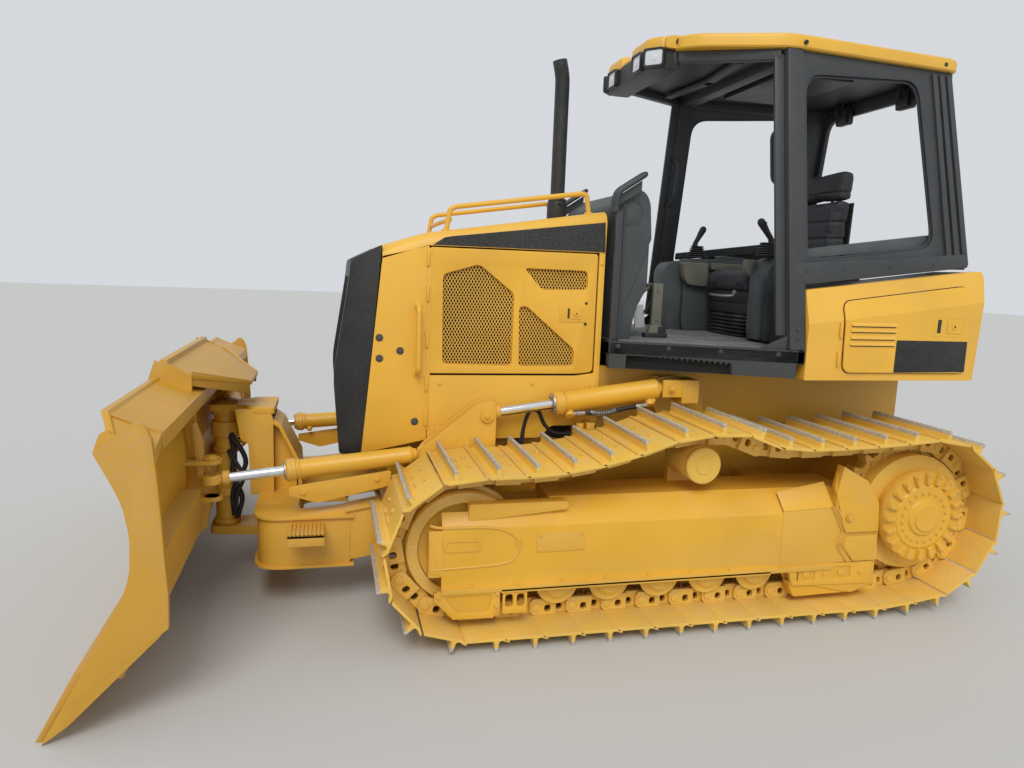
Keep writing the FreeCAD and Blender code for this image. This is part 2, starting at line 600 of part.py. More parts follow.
radiator_seat = box("radiator_seat", ("hood_hinge_x - 71", "grille_nose_x - 60"), ("-rail_outer - 20", "rail_outer + 20"),
                    ("grille_low - 60", "grille_low - seat_gap"))
bracket_web = prism("lift_bracket", "XZ",
                    [("lift_rear_x - 75", "lift_rear_z + 45"), ("lift_rear_x + 45", "lift_rear_z + 45"),
                     ("lift_rear_x + 60", "lift_rear_z - 60"), ("lift_rear_x - 60", "frame_high"),
                     ("lift_rear_x - 260", "frame_high"), ("lift_rear_x - 230", "lift_rear_z + 10")],
                    "rail_outer - 5", "rail_outer + 70")
side_wall = box("chassis_side", ("frame_tail", "cab_front_x"), ("rail_outer - 5", "rail_outer + 20"), ("frame_high - 40", "floor_low - seat_gap"))
pin_y_low = "cylinder_y - eye_thickness / 2 - 7"
bracket_fork = box("lift_bracket_fork", ("lift_rear_x - 150", "lift_rear_x - 62"), ("rail_outer + 65", "cylinder_y + 45"),
                   ("lift_rear_z - 75", "lift_rear_z + 40"))
fork_plates = [box("lift_fork_plate_%d" % side, ("lift_rear_x - 100", "lift_rear_x + 40"),
                   ("cylinder_y + %d * (eye_thickness / 2 + 14) - 7" % side,
                    "cylinder_y + %d * (eye_thickness / 2 + 14) + 7" % side),
                   ("lift_rear_z - 45", "lift_rear_z + 40")) for side in (-1, 1)]
lift_mount = fuse("lift_mount", bracket_web, bracket_fork, fork_plates[0], fork_plates[1])
pivot_pin = rod("push_pivot_pin", "Y", ("pivot_x", "pivot_z"), "arm_inner - 7", "arm_outer - 3", "40")
lift_pin = rod("lift_pin", "Y", ("lift_rear_x", "lift_rear_z"), "cylinder_y - eye_thickness / 2 - 12",
               "cylinder_y + eye_thickness / 2 + 12", "pin_radius")
pivot_boss = rod("push_pivot_boss", "Y", ("pivot_x", "pivot_z"), "rail_outer - 5", "arm_inner - 6", "75")
chassis = fuse("chassis_solid", trough_body, case, front_tie, rear_tie, drive_tube,
               cut("drawbar_solid", drawbar, drawbar_bore), drawbar_top, radiator_seat,
               *pair("chassis", lift_mount, side_wall, pivot_boss, pivot_pin, lift_pin))
node("main_frame", chassis)
node("engine_block", box("engine", ("hood_rear_x + 98", "hood_hinge_x - 51"), ("-rail_outer + 45", "rail_outer - 45"),
                          ("frame_high + seat_gap", "hood_skirt_z - 170")))

# Hood: top sheet, nose panels, doors, lower side panels and the grille housing
hood_form = prism("hood_form", "XZ",
                  [("hood_front_x", "hood_front_z"), ("hood_hinge_x", "hood_hinge_z"), ("hood_rear_x", "hood_rear_z"),
                   ("hood_rear_x", "hood_skirt_z"), ("hood_hinge_x", "hood_skirt_z"),
                   ("hood_front_x", "hood_front_z - hood_edge")],
                  "-hood_half", "hood_half")
hood_room = prism("hood_room", "XZ",
                  [("hood_front_x - hood_skin", "hood_front_z - hood_skin"), ("hood_hinge_x", "hood_hinge_z - hood_skin"),
                   ("hood_rear_x + hood_skin", "hood_rear_z - hood_skin"), ("hood_rear_x + hood_skin", "hood_skirt_z - 10"),
                   ("hood_hinge_x", "hood_skirt_z - 10"), ("hood_front_x - hood_skin", "hood_front_z - hood_edge - 10")],
                  "-hood_half + hood_skin", "hood_half - hood_skin")
node("hood_top", cut("hood_top_sheet", hood_form, hood_room))
grille_side = [("hood_front_x + seat_gap", "hood_front_z"), ("grille_foot_x", "grille_low"), ("grille_nose_x - 27", "grille_low"),
               ("grille_nose_x", "grille_nose_z"), ("grille_nose_x - 68", "grille_nose_z + 436"),
               ("grille_nose_x - 76", "grille_nose_z + 524")]
node("radiator_grille", prism("grille_housing", "XZ", grille_side, "-hood_half", "hood_half"))
nose_panel = prism("nose_panel", "XZ",
                   [("hood_hinge_x - 3 + seat_gap", "hood_skirt_z - seat_gap"),
                    ("hood_hinge_x", "hood_skirt_z - seat_gap"),
                    ("hood_front_x", "hood_front_z - hood_edge - seat_gap"),
                    ("grille_foot_x - seat_gap", "grille_low"), ("hood_hinge_x - 3 + seat_gap", "panel_low")],
                   "hood_half - hood_skin", "hood_half")
node("nose_panels", *pair("nose_panel", nose_panel))
door = prism("engine_door", "XZ",
             [("hood_hinge_x - 3", "hood_skirt_z - door_gap"), ("hood_hinge_x - 3", "door_low + door_gap"),
              ("door_rear_x", "door_low + door_gap"), ("door_rear_x", "hood_skirt_z - door_gap")],
             "hood_half - hood_skin", "hood_half")
both("engine_door", door)
lower_panel = prism("lower_panel", "XZ",
                    [("hood_hinge_x - 3", "panel_low"), ("hood_hinge_x - 3", "door_low"), ("hood_rear_x", "door_low"),
                     ("hood_rear_x", "panel_low + 60"), ("door_rear_x + 200", "panel_low + 60"), ("door_rear_x + 250", "panel_low")],
                    "hood_half - hood_skin", "hood_half")
rear_panel = prism("rear_panel", "XZ",
                   [("door_rear_x - door_gap", "door_low - 1"), ("door_rear_x - door_gap", "hood_skirt_z - seat_gap"),
                    ("hood_rear_x", "hood_skirt_z - seat_gap"), ("hood_rear_x", "door_low - 1")],
                   "hood_half - hood_skin", "hood_half")
side_panel = fuse("side_panel_solid", lower_panel, rear_panel)
node("lower_side_panels", *pair("side_panel", side_panel))

# Exhaust pipe with its collar and bent tip
pipe_base = "hood_rear_z - 40"
exhaust = fuse("exhaust_pipes",
               rod("exhaust_pipe", "Z", ("exhaust_x", "0"), pipe_base, "exhaust_top + 40", "exhaust_radius"),
               rod("exhaust_collar", "Z", ("exhaust_x", "0"), pipe_base, "hood_rear_z + 66", "exhaust_radius + 14"),
               rod("exhaust_tip", "X", ("0", "exhaust_top + 60"), "exhaust_x - 70", "exhaust_x + 30", "exhaust_radius"))
node("exhaust_stack", cut("exhaust_solid", exhaust, hood_form))


def tube_shape(points, radius):
    """A bent round tube: straight runs with a ball at each bend."""
    solids = []
    for first, second in zip(points, points[1:]):
        start = FreeCAD.Vector(*first)
        run = FreeCAD.Vector(*second) - start
        solids.append(Part.makeCylinder(radius, run.Length, start, run))
    for point in points[1:-1]:
        solids.append(Part.makeSphere(radius, FreeCAD.Vector(*point)))
    return solids[0].fuse(solids[1:]).removeSplitter()


def hood_height(x):
    """Height of the hood's top at a place along it."""
    share = (size("hood_hinge_x") - x) / (size("hood_hinge_x") - size("hood_rear_x"))
    return size("hood_hinge_z") + share * (size("hood_rear_z") - size("hood_hinge_z"))


rail_front = size("hood_rail_front")
rail_rear = size("hood_rail_rear")
rail_rise = size("hood_rail_rise")
rail_points = [(rail_front + 18, size("handrail_y"), hood_height(rail_front + 18) - 10),
               (rail_front, size("handrail_y"), hood_height(rail_front) + rail_rise),
               (rail_rear, size("handrail_y"), hood_height(rail_rear) + rail_rise),
               (rail_rear - 18, size("handrail_y"), hood_height(rail_rear - 18) - 10)]
hood_rail = cut("hood_rail", shaped("hood_rail_tube", tube_shape(rail_points, size("handrail_radius"))), hood_form)
node("hood_rails", *pair("hood_rail", hood_rail))

# Operator platform: six-sided in plan, narrow in front and widest at the main pillars
plan = [("cab_front_x", "-cab_front_half"), ("cab_front_x", "cab_front_half"), ("pillar_x", "pillar_foot_half"),
        ("fender_rear_x + 40", "pillar_foot_half - 60"), ("fender_rear_x + 40", "-pillar_foot_half + 60"),
        ("pillar_x", "-pillar_foot_half")]
platform = prism("platform_plate", "XY", plan, "floor_low", "floor_high")
node("operator_platform", platform)


def leaning_post(name, foot_x, head_x, foot_half, head_half, low, high, depth, width):
    """A square post that leans inward from its foot to its head."""
    def ring(x, half, z):
        corners = [(x - depth / 2, half - width), (x + depth / 2, half - width),
                   (x + depth / 2, half), (x - depth / 2, half)]
        points = [FreeCAD.Vector(px, py, z) for px, py in corners]
        return Part.makePolygon(points + points[:1])
    return shaped(name, Part.makeLoft([ring(foot_x, foot_half, low), ring(head_x, head_half, high)], True, True))


# Canopy frame: two main pillars, two rear posts and the rails that join them
main_pillar = leaning_post("main_pillar", size("pillar_x"), size("pillar_x"), size("pillar_foot_half"),
                           size("pillar_head_half"), size("floor_high") + 0.3, size("roof_low"),
                           size("pillar_depth"), size("pillar_width"))
rear_post = leaning_post("rear_post", size("rear_post_x"), size("rear_post_x") + 15, size("rear_post_foot_half"),
                         size("rear_post_head_half"), size("fender_rear_z") + 0.3, size("roof_low"),
                         60, 60)


def beam_shape(start, end, width, height):
    """A straight beam between two points, with level top and bottom faces."""
    first = FreeCAD.Vector(*start)
    run = FreeCAD.Vector(*end) - first
    side = FreeCAD.Vector(-run.y, run.x, 0).normalize() * (width / 2)
    up = FreeCAD.Vector(0, 0, height / 2)
    corners = [first - side - up, first + side - up, first + side + up, first - side + up]
    return Part.Face(Part.makePolygon(corners + corners[:1])).extrude(run)


def at_height(half_foot, half_head, low, z):
    """Outer face of a leaning post at a height."""
    return half_foot + (half_head - half_foot) * (z - low) / (size("roof_low") - low)


top_z = size("roof_low") - 30
main_head = (size("pillar_x"), size("pillar_head_half") - 35, top_z)
rear_head = (size("rear_post_x") + 15, size("rear_post_head_half") - 30, top_z)
side_beam = shaped("roof_side_beam", beam_shape(main_head, rear_head, 60, 60))
front_x = size("roof_front_x") - size("visor_length") - 40
front_beam = shaped("roof_front_beam", beam_shape(main_head, (front_x, size("roof_front_half") - 15, top_z), 50, 50))
lower_front_z = size("fender_front_z") + size("rail_drop")
lower_rear_z = size("fender_rear_z") + size("rail_drop") - 20
lower_front = (size("pillar_x"), at_height(size("pillar_foot_half"), size("pillar_head_half"), size("floor_high"),
                                           lower_front_z) - size("pillar_width") / 2, lower_front_z)
lower_rear = (size("rear_post_x"), at_height(size("rear_post_foot_half"), size("rear_post_head_half"),
                                             size("fender_rear_z"), lower_rear_z) - 30, lower_rear_z)
lower_rail = shaped("canopy_lower_rail", beam_shape(lower_front, lower_rear, 56, 84))
cross_main = box("roof_cross_main", ("pillar_x - 35", "pillar_x + 35"), ("-pillar_head_half + 40", "pillar_head_half - 40"),
                 ("roof_low - 60", "roof_low - 0.3"))
cross_rear = box("roof_cross_rear", ("rear_post_x - 15", "rear_post_x + 45"),
                 ("-rear_post_head_half + 30", "rear_post_head_half - 30"), ("roof_low - 60", "roof_low - 0.3"))
cross_front = box("roof_cross_front", ("roof_front_x - visor_length - 65", "roof_front_x - visor_length - 15"),
                  ("-roof_front_half + 15", "roof_front_half - 15"), ("roof_low - 55", "roof_low - 5"))
canopy = fuse("canopy_solid", *(pair("canopy", main_pillar, rear_post, side_beam, front_beam, lower_rail)
                                + [cross_main, cross_rear, cross_front]))
node("canopy_frame", canopy)
roof_plan = [("roof_front_x", "-roof_front_half"), ("roof_front_x", "roof_front_half"),
             ("pillar_x + 20", "pillar_head_half + 12"), ("rear_post_x - 20", "rear_post_head_half + 12"),
             ("rear_post_x - 20", "-rear_post_head_half - 12"), ("pillar_x + 20", "-pillar_head_half - 12")]
visor = prism("roof_visor", "XY",
              [("roof_front_x - visor_length", "-roof_front_half"), ("roof_front_x - visor_corner", "-roof_front_half"),
               ("roof_front_x - 5", "-roof_front_half + visor_corner"), ("roof_front_x - 5", "roof_front_half - visor_corner"),
               ("roof_front_x - visor_corner", "roof_front_half"), ("roof_front_x - visor_length", "roof_front_half")],
              "roof_low - visor_depth", "roof_low + 5")
node("roof", fuse("roof_solid", prism("roof_plate", "XY", roof_plan, "roof_low", "roof_high"), visor))

# Fenders behind the pillars, with a service door on each side, and the tank between them
def fender_ring(x, top, outward):
    """The outline of a fender's cross-section: its upper panel leans in above a crease."""
    inner, low, lean, bevel = [size(alias) for alias in ("fender_inner", "fender_low", "fender_lean", "fender_chamfer")]
    outer = size("fender_outer") + outward
    corners = [(inner, low), (outer, low), (outer, top - size("fender_crease")), (outer - lean, top - bevel),
               (outer - lean - bevel, top), (inner, top)]
    points = [FreeCAD.Vector(x, y, z) for y, z in corners]
    return Part.makePolygon(points + points[:1])


def fender_form(outward):
    """A whole fender, with its outer faces moved out."""
    return Part.makeLoft([fender_ring(size("fender_front_x"), size("fender_front_z"), outward),
                          fender_ring(size("fender_rear_x"), size("fender_rear_z"), outward)], True, True)


fender = shaped("fender", fender_form(0))
fender_cut = cut("fender_body", fender, box("platform_room", ("fender_rear_x + 35", "cab_front_x"),
                                            ("0", "pillar_foot_half + 5"), ("0", "floor_high + 0.5")))
node("fenders", *pair("fender", fender_cut))
node("rear_tank", box("rear_wall", ("fender_rear_x - 60", "fender_rear_x - 0.3"), ("-fender_outer + 60", "fender_outer - 60"),
                       ("fender_low - 200", "fender_rear_z - 60")))
door_outline = prism("service_door_outline", "XZ",
                     [("fender_front_x - 225", "fender_low + 32"), ("fender_front_x - 167", "fender_front_z - 41"),
                      ("fender_rear_x + 138", "fender_rear_z - 81"), ("fender_rear_x + 81", "fender_rear_z - 181"),
                      ("fender_rear_x + 66", "fender_low + 69")],
                     "fender_outer - fender_lean - 40", "fender_outer + 30")
door_skin = cut("service_door_skin", shaped("door_outside", fender_form(size("service_door_sheet"))),
                shaped("door_inside", fender_form(size("seat_gap"))))
service_door = DOC.addObject("Part::Common", "service_door")
service_door.Base = door_skin
service_door.Tool = door_outline
both("service_door", service_door)

# Operator's place
node("seat_base", fuse("seat_base_solid",
                       box("seat_bellows", ("seat_x - 190", "seat_x + 190"), ("-190", "190"), ("floor_high + 0.3", "seat_top - 190")),
                       box("seat_pan", ("seat_x - 230", "seat_x + 230"), ("-230", "230"), ("seat_top - 195", "seat_top - 110"))))
node("seat_cushion", box("seat_squab", ("seat_x - 240", "seat_x + 240"), ("-240", "240"), ("seat_top - 109.7", "seat_top")))
node("seat_back", fuse("seat_back_solid",
                       prism("backrest", "XZ", [("seat_x - 240.5", "seat_top - 60"), ("seat_x - 240.5", "seat_top + 40"),
                                                ("seat_x - 275", "seat_top + 400"), ("seat_x - 375", "seat_top + 400"),
                                                ("seat_x - 355", "seat_top - 60")], "-235", "235"),
                       box("headrest", ("seat_x - 378", "seat_x - 285"), ("-225", "225"), ("seat_top + 399", "seat_top + 570"))))
console = prism("console_block", "XZ",
                [("seat_x - 260", "floor_high + 0.3"), ("seat_x + 330", "floor_high + 0.3"), ("seat_x + 365", "seat_top - 60"),
                 ("seat_x + 330", "seat_top + 70"), ("seat_x + 180", "seat_top + 70"), ("seat_x - 100", "seat_top + 50"),
                 ("seat_x - 260", "seat_top + 10")], "285", "fender_inner - 3")
node("side_consoles", *pair("console", console))
lever = fuse("lever_solid", rod("lever_boot", "Z", ("seat_x + 245", "380"), "seat_top + 70.3", "seat_top + 140", "48"),
             rod("lever_stem", "Z", ("seat_x + 245", "380"), "seat_top + 135", "seat_top + 258", "17"))
node("control_levers", *pair("lever", lever))
dash_side = [("cab_front_x - 20", "floor_high + 0.3"), ("cab_front_x - 20", "floor_high + 639"),
             ("cab_front_x - 131", "floor_high + 731"), ("cab_front_x - 179", "floor_high + 710"),
             ("cab_front_x - 203", "floor_high + 664"), ("cab_front_x - 246", "floor_high + 199"),
             ("cab_front_x - 200", "floor_high + 173"), ("cab_front_x - 170", "floor_high + 0.3")]
node("dash_column", prism("dash_cowl", "XZ", dash_side, "-dash_half", "dash_half"))
front_post = box("front_post", ("cab_front_x - 45", "cab_front_x - 5"), ("cab_front_half - 30", "cab_front_half - 8"),
                 ("floor_high + 0.3", "floor_high + 614"))
post_rail = shaped("front_post_rail", tube_shape(
    [(size("cab_front_x") - 25, size("cab_front_half") - 19, size("floor_high") + 600),
     (size("cab_front_x") - 20, size("cab_front_half") - 19, size("floor_high") + 700),
     (size("cab_front_x") - 150, size("cab_front_half") - 19, size("floor_high") + 790),
     (size("cab_front_x") - 190, size("cab_front_half") - 19, size("floor_high") + 720),
     (size("cab_front_x") - 190, size("cab_front_half") - 19, size("floor_high") + 330),
     (size("cab_front_x") - 25, size("cab_front_half") - 19, size("floor_high") + 300)], size("handrail_radius")))
node("grab_rails", *pair("grab_rails", fuse("front_post_solid", front_post, post_rail)))

# Lamps
front_lamp = box("front_lamp", ("roof_front_x - 4.7", "roof_front_x - 4.7 + lamp_depth"), ("110", "228"),
                 ("roof_low - visor_depth + 4", "roof_low - seat_gap"))
corner_lamp = prism("corner_lamp", "XY",
                    [("roof_front_x + 3", "roof_front_half - visor_corner + 8"), ("roof_front_x - visor_corner + 8", "roof_front_half + 3"),
                     ("roof_front_x - visor_corner + 8 + lamp_depth", "roof_front_half + 3 + lamp_depth"),
                     ("roof_front_x + 3 + lamp_depth", "roof_front_half - visor_corner + 8 + lamp_depth")],
                    "roof_low - visor_depth + 4", "roof_low - seat_gap")
rear_lamp = box("rear_lamp", ("rear_post_x + 51", "rear_post_x + 115"), ("190", "310"), ("roof_low - 150", "roof_low - seat_gap"))
node("work_lamps", *pair("work_lamp", front_lamp, corner_lamp, rear_lamp))

# Push frame: two arms inside the tracks, ears for the cylinders, the cross box and the tower
arm = prism("push_arm", "XZ",
            [("pivot_x - 95", "pivot_z - 80"), ("pivot_x - 95", "pivot_z + 80"), ("cross_rear - 380", "pivot_z + 60"),
             ("cross_rear + 20", "cross_high"), ("cross_rear + 20", "cross_low"), ("cross_rear - 250", "cross_low + 10"),
             ("pivot_x + 300", "pivot_z - 92")],
            "arm_inner", "arm_outer")
arm_bore = rod("arm_bore", "Y", ("pivot_x", "pivot_z"), "arm_inner - 1", "arm_outer + 1", "40.3")
push_arm = cut("push_arm_bored", arm, arm_bore)
ear_outline = [("lift_ear_x - 45", "cross_high - 60"), ("lift_ear_x - 45", "lift_ear_z + 75"),
               ("lift_ear_x + 45", "lift_ear_z + 55"), ("angle_rear_x + 36", "angle_rear_z + 22"),
               ("angle_rear_x + 36", "cross_high - 60")]
ears = [prism("ear_outer", "XZ", ear_outline, "arm_outer - ear_plate", "arm_outer"),
        prism("ear_inner", "XZ", ear_outline, "arm_inner", "arm_inner + ear_plate")]
ear_web = box("ear_web", ("lift_ear_x + 85", "lift_ear_x + 165"), ("arm_inner + 5", "arm_outer - 5"),
              ("cross_high - 60", "lift_ear_z - 90"))
angle_pin = rod("angle_pin", "Y", ("angle_rear_x", "angle_rear_z"), "arm_inner + 5", "arm_outer - 5", "pin_radius")
lift_caps = [rod("lift_cap_outer", "Y", ("lift_ear_x", "lift_ear_z"), "arm_outer - 1", "arm_outer + 8", "34"),
             rod("lift_cap_inner", "Y", ("lift_ear_x", "lift_ear_z"), "arm_inner - 8", "arm_inner + 1", "34")]
cylinder_guard = box("cylinder_guard", ("angle_rear_x + 150", "cross_rear + 20"), ("arm_inner", "arm_outer"),
                     ("cross_high - 5", "cross_high + 50"))
cross_plan = [("cross_rear", "0"), ("cross_rear", "arm_inner + 5"), ("cross_rear - 240", "arm_inner + 5"),
              ("cross_rear - 240", "arm_outer"), ("cross_front - 90", "arm_outer"), ("cross_front", "cross_nose"),
              ("cross_front", "0")]
cross = prism("cross_box", "XY", cross_plan, "cross_low", "cross_high")
flange_high = prism("flange_high", "XY", cross_plan, "cross_high", "cross_high + cross_flange")
flange_low = prism("flange_low", "XY", cross_plan, "cross_low - cross_flange", "cross_low")
tread = box("tread_plate", ("cross_rear - 135", "cross_rear + 20"), ("arm_outer - 5", "arm_outer + 150"),
            ("cross_high - 40", "cross_high - 28"))
arms = pair("push", push_arm, ears[0], ears[1], ear_web, angle_pin, lift_caps[0], lift_caps[1], cylinder_guard,
            cross, flange_high, flange_low, tread)

# Tower: side plates on the cross box that carry the swivel post above and below
tower_side = prism("tower_side", "XZ",
                   [("cross_rear + 5", "cross_high - 20"), ("cross_rear + 60", "tower_high - 75"),
                    ("cross_rear + 95", "tower_high"), ("tower_front", "tower_high"),
                    ("tower_front - 5", "cross_high - 20")],
                   "tower_half - 25", "tower_half")
tower_back = box("tower_back", ("cross_rear + 60", "cross_rear + 110"), ("-tower_half + 5", "tower_half - 5"),
                 ("cross_high - 20", "tower_high - 100"))
tower_top = fuse("tower_top",
                 box("tower_top_plate", ("tower_front - 5", "swivel_x"), ("-post_head", "post_head"),
                     ("tower_high - 30", "tower_high")),
                 rod("tower_top_end", "Z", ("swivel_x", "0"), "tower_high - 30", "tower_high", "post_head"),
                 box("tower_top_wide", ("cross_rear + 95", "tower_front"), ("-tower_half + 5", "tower_half - 5"),
                     ("tower_high - 30", "tower_high")))
tower_low = fuse("tower_low",
                 box("tower_low_plate", ("cross_front - 10", "swivel_x"), ("-post_head", "post_head"),
                     ("cross_low", "cross_low + 40")),
                 rod("tower_low_end", "Z", ("swivel_x", "0"), "cross_low", "cross_low + 40", "post_head"))
post_bore = rod("post_bore", "Z", ("swivel_x", "0"), "cross_low - 15", "tower_high + 5",
                "swivel_radius - 12 + pin_clearance")
push_frame = cut("push_frame_solid", fuse("push_frame_plates", *(arms + pair("tower", tower_side)
                                                                 + [tower_back, tower_top, tower_low])), post_bore)
node("push_frame", push_frame)

# Swivel: the post on which the blade angles, with the trunnion on which it tilts
tilt_ears = [box("tilt_ear_%d" % side, ("tilt_x + %d * 33 - 6" % side, "tilt_x + %d * 33 + 6" % side),
                 ("tilt_rear_y - 32", "tilt_rear_y + 32"), ("tilt_rear_z - 70", "tilt_rear_z + 32")) for side in (-1, 1)]
node("swivel_post", fuse("swivel_solid",
                         rod("post_core", "Z", ("swivel_x", "0"), "cross_low + 2", "tower_high - 2", "swivel_radius - 12"),
                         rod("post_barrel", "Z", ("swivel_x", "0"), "cross_low + 46", "tower_high - 36", "swivel_radius"),
                         rod("trunnion", "X", ("0", "tilt_z"), "swivel_x", "swivel_x + 105", "58"),
                         box("tilt_arm", ("swivel_x - 30", "tilt_x + 39"), ("tilt_rear_y - 32", "0"),
                             ("tilt_rear_z - 75", "tilt_rear_z - 47")),
                         rod("tilt_pin", "X", ("tilt_rear_y", "tilt_rear_z"), "tilt_x - 39", "tilt_x + 39", "pin_radius"),
                         *tilt_ears))


# Blade: hollow face plate, straight lower face, end plates, back frame and edges
def blade_face_shape():
    """The face plate: a hollow upper arc that runs into the straight lower face."""
    skin = size("blade_skin")
    top = FreeCAD.Vector(size("blade_top_x"), 0, size("blade_top"))
    bowl = FreeCAD.Vector(size("blade_bowl_x"), 0, size("blade_bowl_z"))
    start = FreeCAD.Vector(size("edge_start_x"), 0, size("edge_start_z"))
    lean = (size("edge_tip_x") - size("edge_start_x")) / size("edge_start_z")
    low_z = 110
    low = FreeCAD.Vector(size("edge_start_x") + lean * (size("edge_start_z") - low_z) - 4, 0, low_z)
    back = FreeCAD.Vector(-skin, 0, 0)
    edges = [Part.Arc(top, bowl, start).toShape(), Part.makeLine(start, low), Part.makeLine(low, low + back),
             Part.makeLine(low + back, start + back), Part.Arc(start + back, bowl + back, top + back).toShape(),
             Part.makeLine(top + back, top)]
    half = size("blade_half") - size("end_plate")
    face = Part.Face(Part.Wire(edges))
    face.translate(FreeCAD.Vector(0, -half, 0))
    return face.extrude(FreeCAD.Vector(0, 2 * half, 0))


face_plate = shaped("blade_face", blade_face_shape())
corner_cut = prism("corner_cut", "YZ",
                   [("blade_half - end_plate - shoulder_run + 25", "blade_top + 5"), ("blade_half + 5", "blade_top - shoulder_drop - 20"),
                    ("blade_half + 5", "blade_top + 5")], "blade_bowl_x - 100", "blade_top_x + 20")
face_cut = cut("blade_face_cut", face_plate, *pair("corner_cut", corner_cut))
raised = box("raised_plate", ("blade_top_x - 60", "blade_top_x - 30"), ("-raised_half", "raised_half"), ("blade_top - 80", "raised_top"))
end = prism("blade_end_plate", "XZ",
            [("blade_top_x - 9", "blade_top - shoulder_drop"), ("blade_bowl_x + 20", "blade_bowl_z + 115"),
             ("blade_bowl_x + 1", "blade_bowl_z"), ("blade_bowl_x + 6", "blade_bowl_z - 125"), ("edge_start_x", "edge_start_z"),
             ("edge_tip_x - 60", "112"), ("edge_start_x - 140", "edge_start_z - 92"), ("blade_bowl_x - 105", "edge_start_z + 25"),
             ("blade_bowl_x - 72", "blade_top - 65"), ("blade_bowl_x - 30", "blade_top - 15")],
            "blade_half - end_plate", "blade_half")
rib = prism("blade_rib", "XZ",
            [("blade_top_x - 50", "blade_top - 10"), ("blade_bowl_x - 10", "blade_bowl_z"), ("edge_start_x - 10", "edge_start_z"),
             ("edge_tip_x - 95", "125"), ("edge_start_x - 120", "edge_start_z - 80"), ("blade_bowl_x - 95", "edge_start_z + 40"),
             ("blade_bowl_x - 95", "edge_start_z + 180"), ("blade_bowl_x - 50", "edge_start_z + 240"),
             ("blade_bowl_x - 40", "blade_top - 60")],
            "angle_eye_y - 135", "angle_eye_y - 110")
back_beams = [box("back_beam_inner", ("blade_bowl_x - 95", "blade_bowl_x - 10"), ("160", "angle_eye_y - 110"),
                  ("edge_start_z - 10", "edge_start_z + 160")),
              box("back_beam_outer", ("blade_bowl_x - 95", "blade_bowl_x - 10"),
                  ("angle_eye_y + 120", "blade_half - end_plate + 2"), ("edge_start_z - 10", "edge_start_z + 160"))]
top_beam = prism("top_beam", "XZ",
                 [("blade_top_x - 20", "blade_top - 8"), ("blade_top_x - 20", "blade_top - 26"), ("blade_bowl_x - 63", "blade_top - 88"),
                  ("blade_bowl_x - 63", "blade_top - 130"), ("blade_bowl_x - 79", "blade_top - 130"), ("blade_bowl_x - 79", "blade_top - 72")],
                 "-blade_half + shoulder_run", "blade_half - shoulder_run")
guard_side = prism("guard_side", "XZ",
                   [("blade_top_x - 30", "raised_top"), ("blade_top_x - 30", "blade_top - 20"), ("blade_bowl_x - 45", "blade_top - 80"),
                    ("blade_bowl_x - 45", "blade_top + 12")], "raised_half - 16", "raised_half")


def guard_shape():
    """The sloping plate behind the raised middle, which narrows to its rear end."""
    front, rear, end = size("blade_top_x") - 40, size("blade_bowl_x") - 45, size("swivel_x") - size("guard_reach")
    half, tip = size("raised_half"), size("guard_tip_half")
    fall = size("guard_fall")
    plan = [(front, half), (rear, half), (end, tip), (end, -tip), (rear, -half), (front, -half)]
    corners = [FreeCAD.Vector(x, y, size("raised_top") - (size("blade_top_x") - x) * fall) for x, y in plan]
    return Part.Face(Part.makePolygon(corners + corners[:1])).extrude(FreeCAD.Vector(0, 0, -size("lug_plate")))


guard_plate = shaped("guard_plate", guard_shape())
hub_outline = [("swivel_x + 60", "tilt_z - 110"), ("swivel_x + 60", "tilt_z + 110"), ("blade_bowl_x - 8", "tilt_z + 110"),
               ("edge_start_x - 12", "edge_start_z"), ("edge_start_x + 38", "tilt_z - 110")]
hub = cut("blade_hub", prism("blade_hub_block", "XZ", hub_outline, "-165", "165"),
          rod("blade_hub_bore", "X", ("0", "tilt_z"), "swivel_x + 50", "swivel_x + 106", "58 + pin_clearance"))
lug_plates = []
for order, (low, high) in enumerate((("angle_eye_z - lug_gap / 2 - lug_plate", "angle_eye_z - lug_gap / 2"),
                                     ("angle_eye_z + lug_gap / 2", "angle_eye_z + lug_gap / 2 + lug_plate"))):
    lug_plates.append(box("lug_plate_%d" % order, ("angle_eye_x", "blade_bowl_x - 5"),
                          ("angle_eye_y - lug_radius", "angle_eye_y + lug_radius"), (low, high)))
    lug_plates.append(rod("lug_end_%d" % order, "Z", ("angle_eye_x", "angle_eye_y"), low, high, "lug_radius"))
tilt_lugs = [box("tilt_lug_%d" % side, ("tilt_x + %d * 33 - 6" % side, "tilt_x + %d * 33 + 6" % side),
                 ("tilt_eye_y - 100", "tilt_eye_y + 32"), ("tilt_eye_z - 45", "tilt_eye_z + 40")) for side in (-1, 1)]
tilt_lug_back = box("tilt_lug_back", ("tilt_x - 39", "blade_bowl_x + 5"), ("tilt_eye_y - 130", "tilt_eye_y - 85"),
                    ("tilt_eye_z - 45", "tilt_eye_z + 40"))
node("blade", fuse("blade_assembly", *([face_cut, raised, top_beam, guard_plate, hub, tilt_lug_back] + tilt_lugs
                                       + pair("blade", end, rib, guard_side, *back_beams, *lug_plates))))
edge_lean = "(edge_tip_x - edge_start_x) / edge_start_z"
edge_top = "230"
edge_plate = prism("cutting_edge_plate", "XZ",
                   [("edge_start_x + %s * (edge_start_z - %s) + 0.3" % (edge_lean, edge_top), edge_top),
                    ("edge_tip_x + 0.3", "0"), ("edge_tip_x + 24", "0"),
                    ("edge_start_x + %s * (edge_start_z - %s) + 24" % (edge_lean, edge_top), edge_top)],
                   "-blade_half + end_plate", "blade_half - end_plate")
node("cutting_edge", edge_plate)


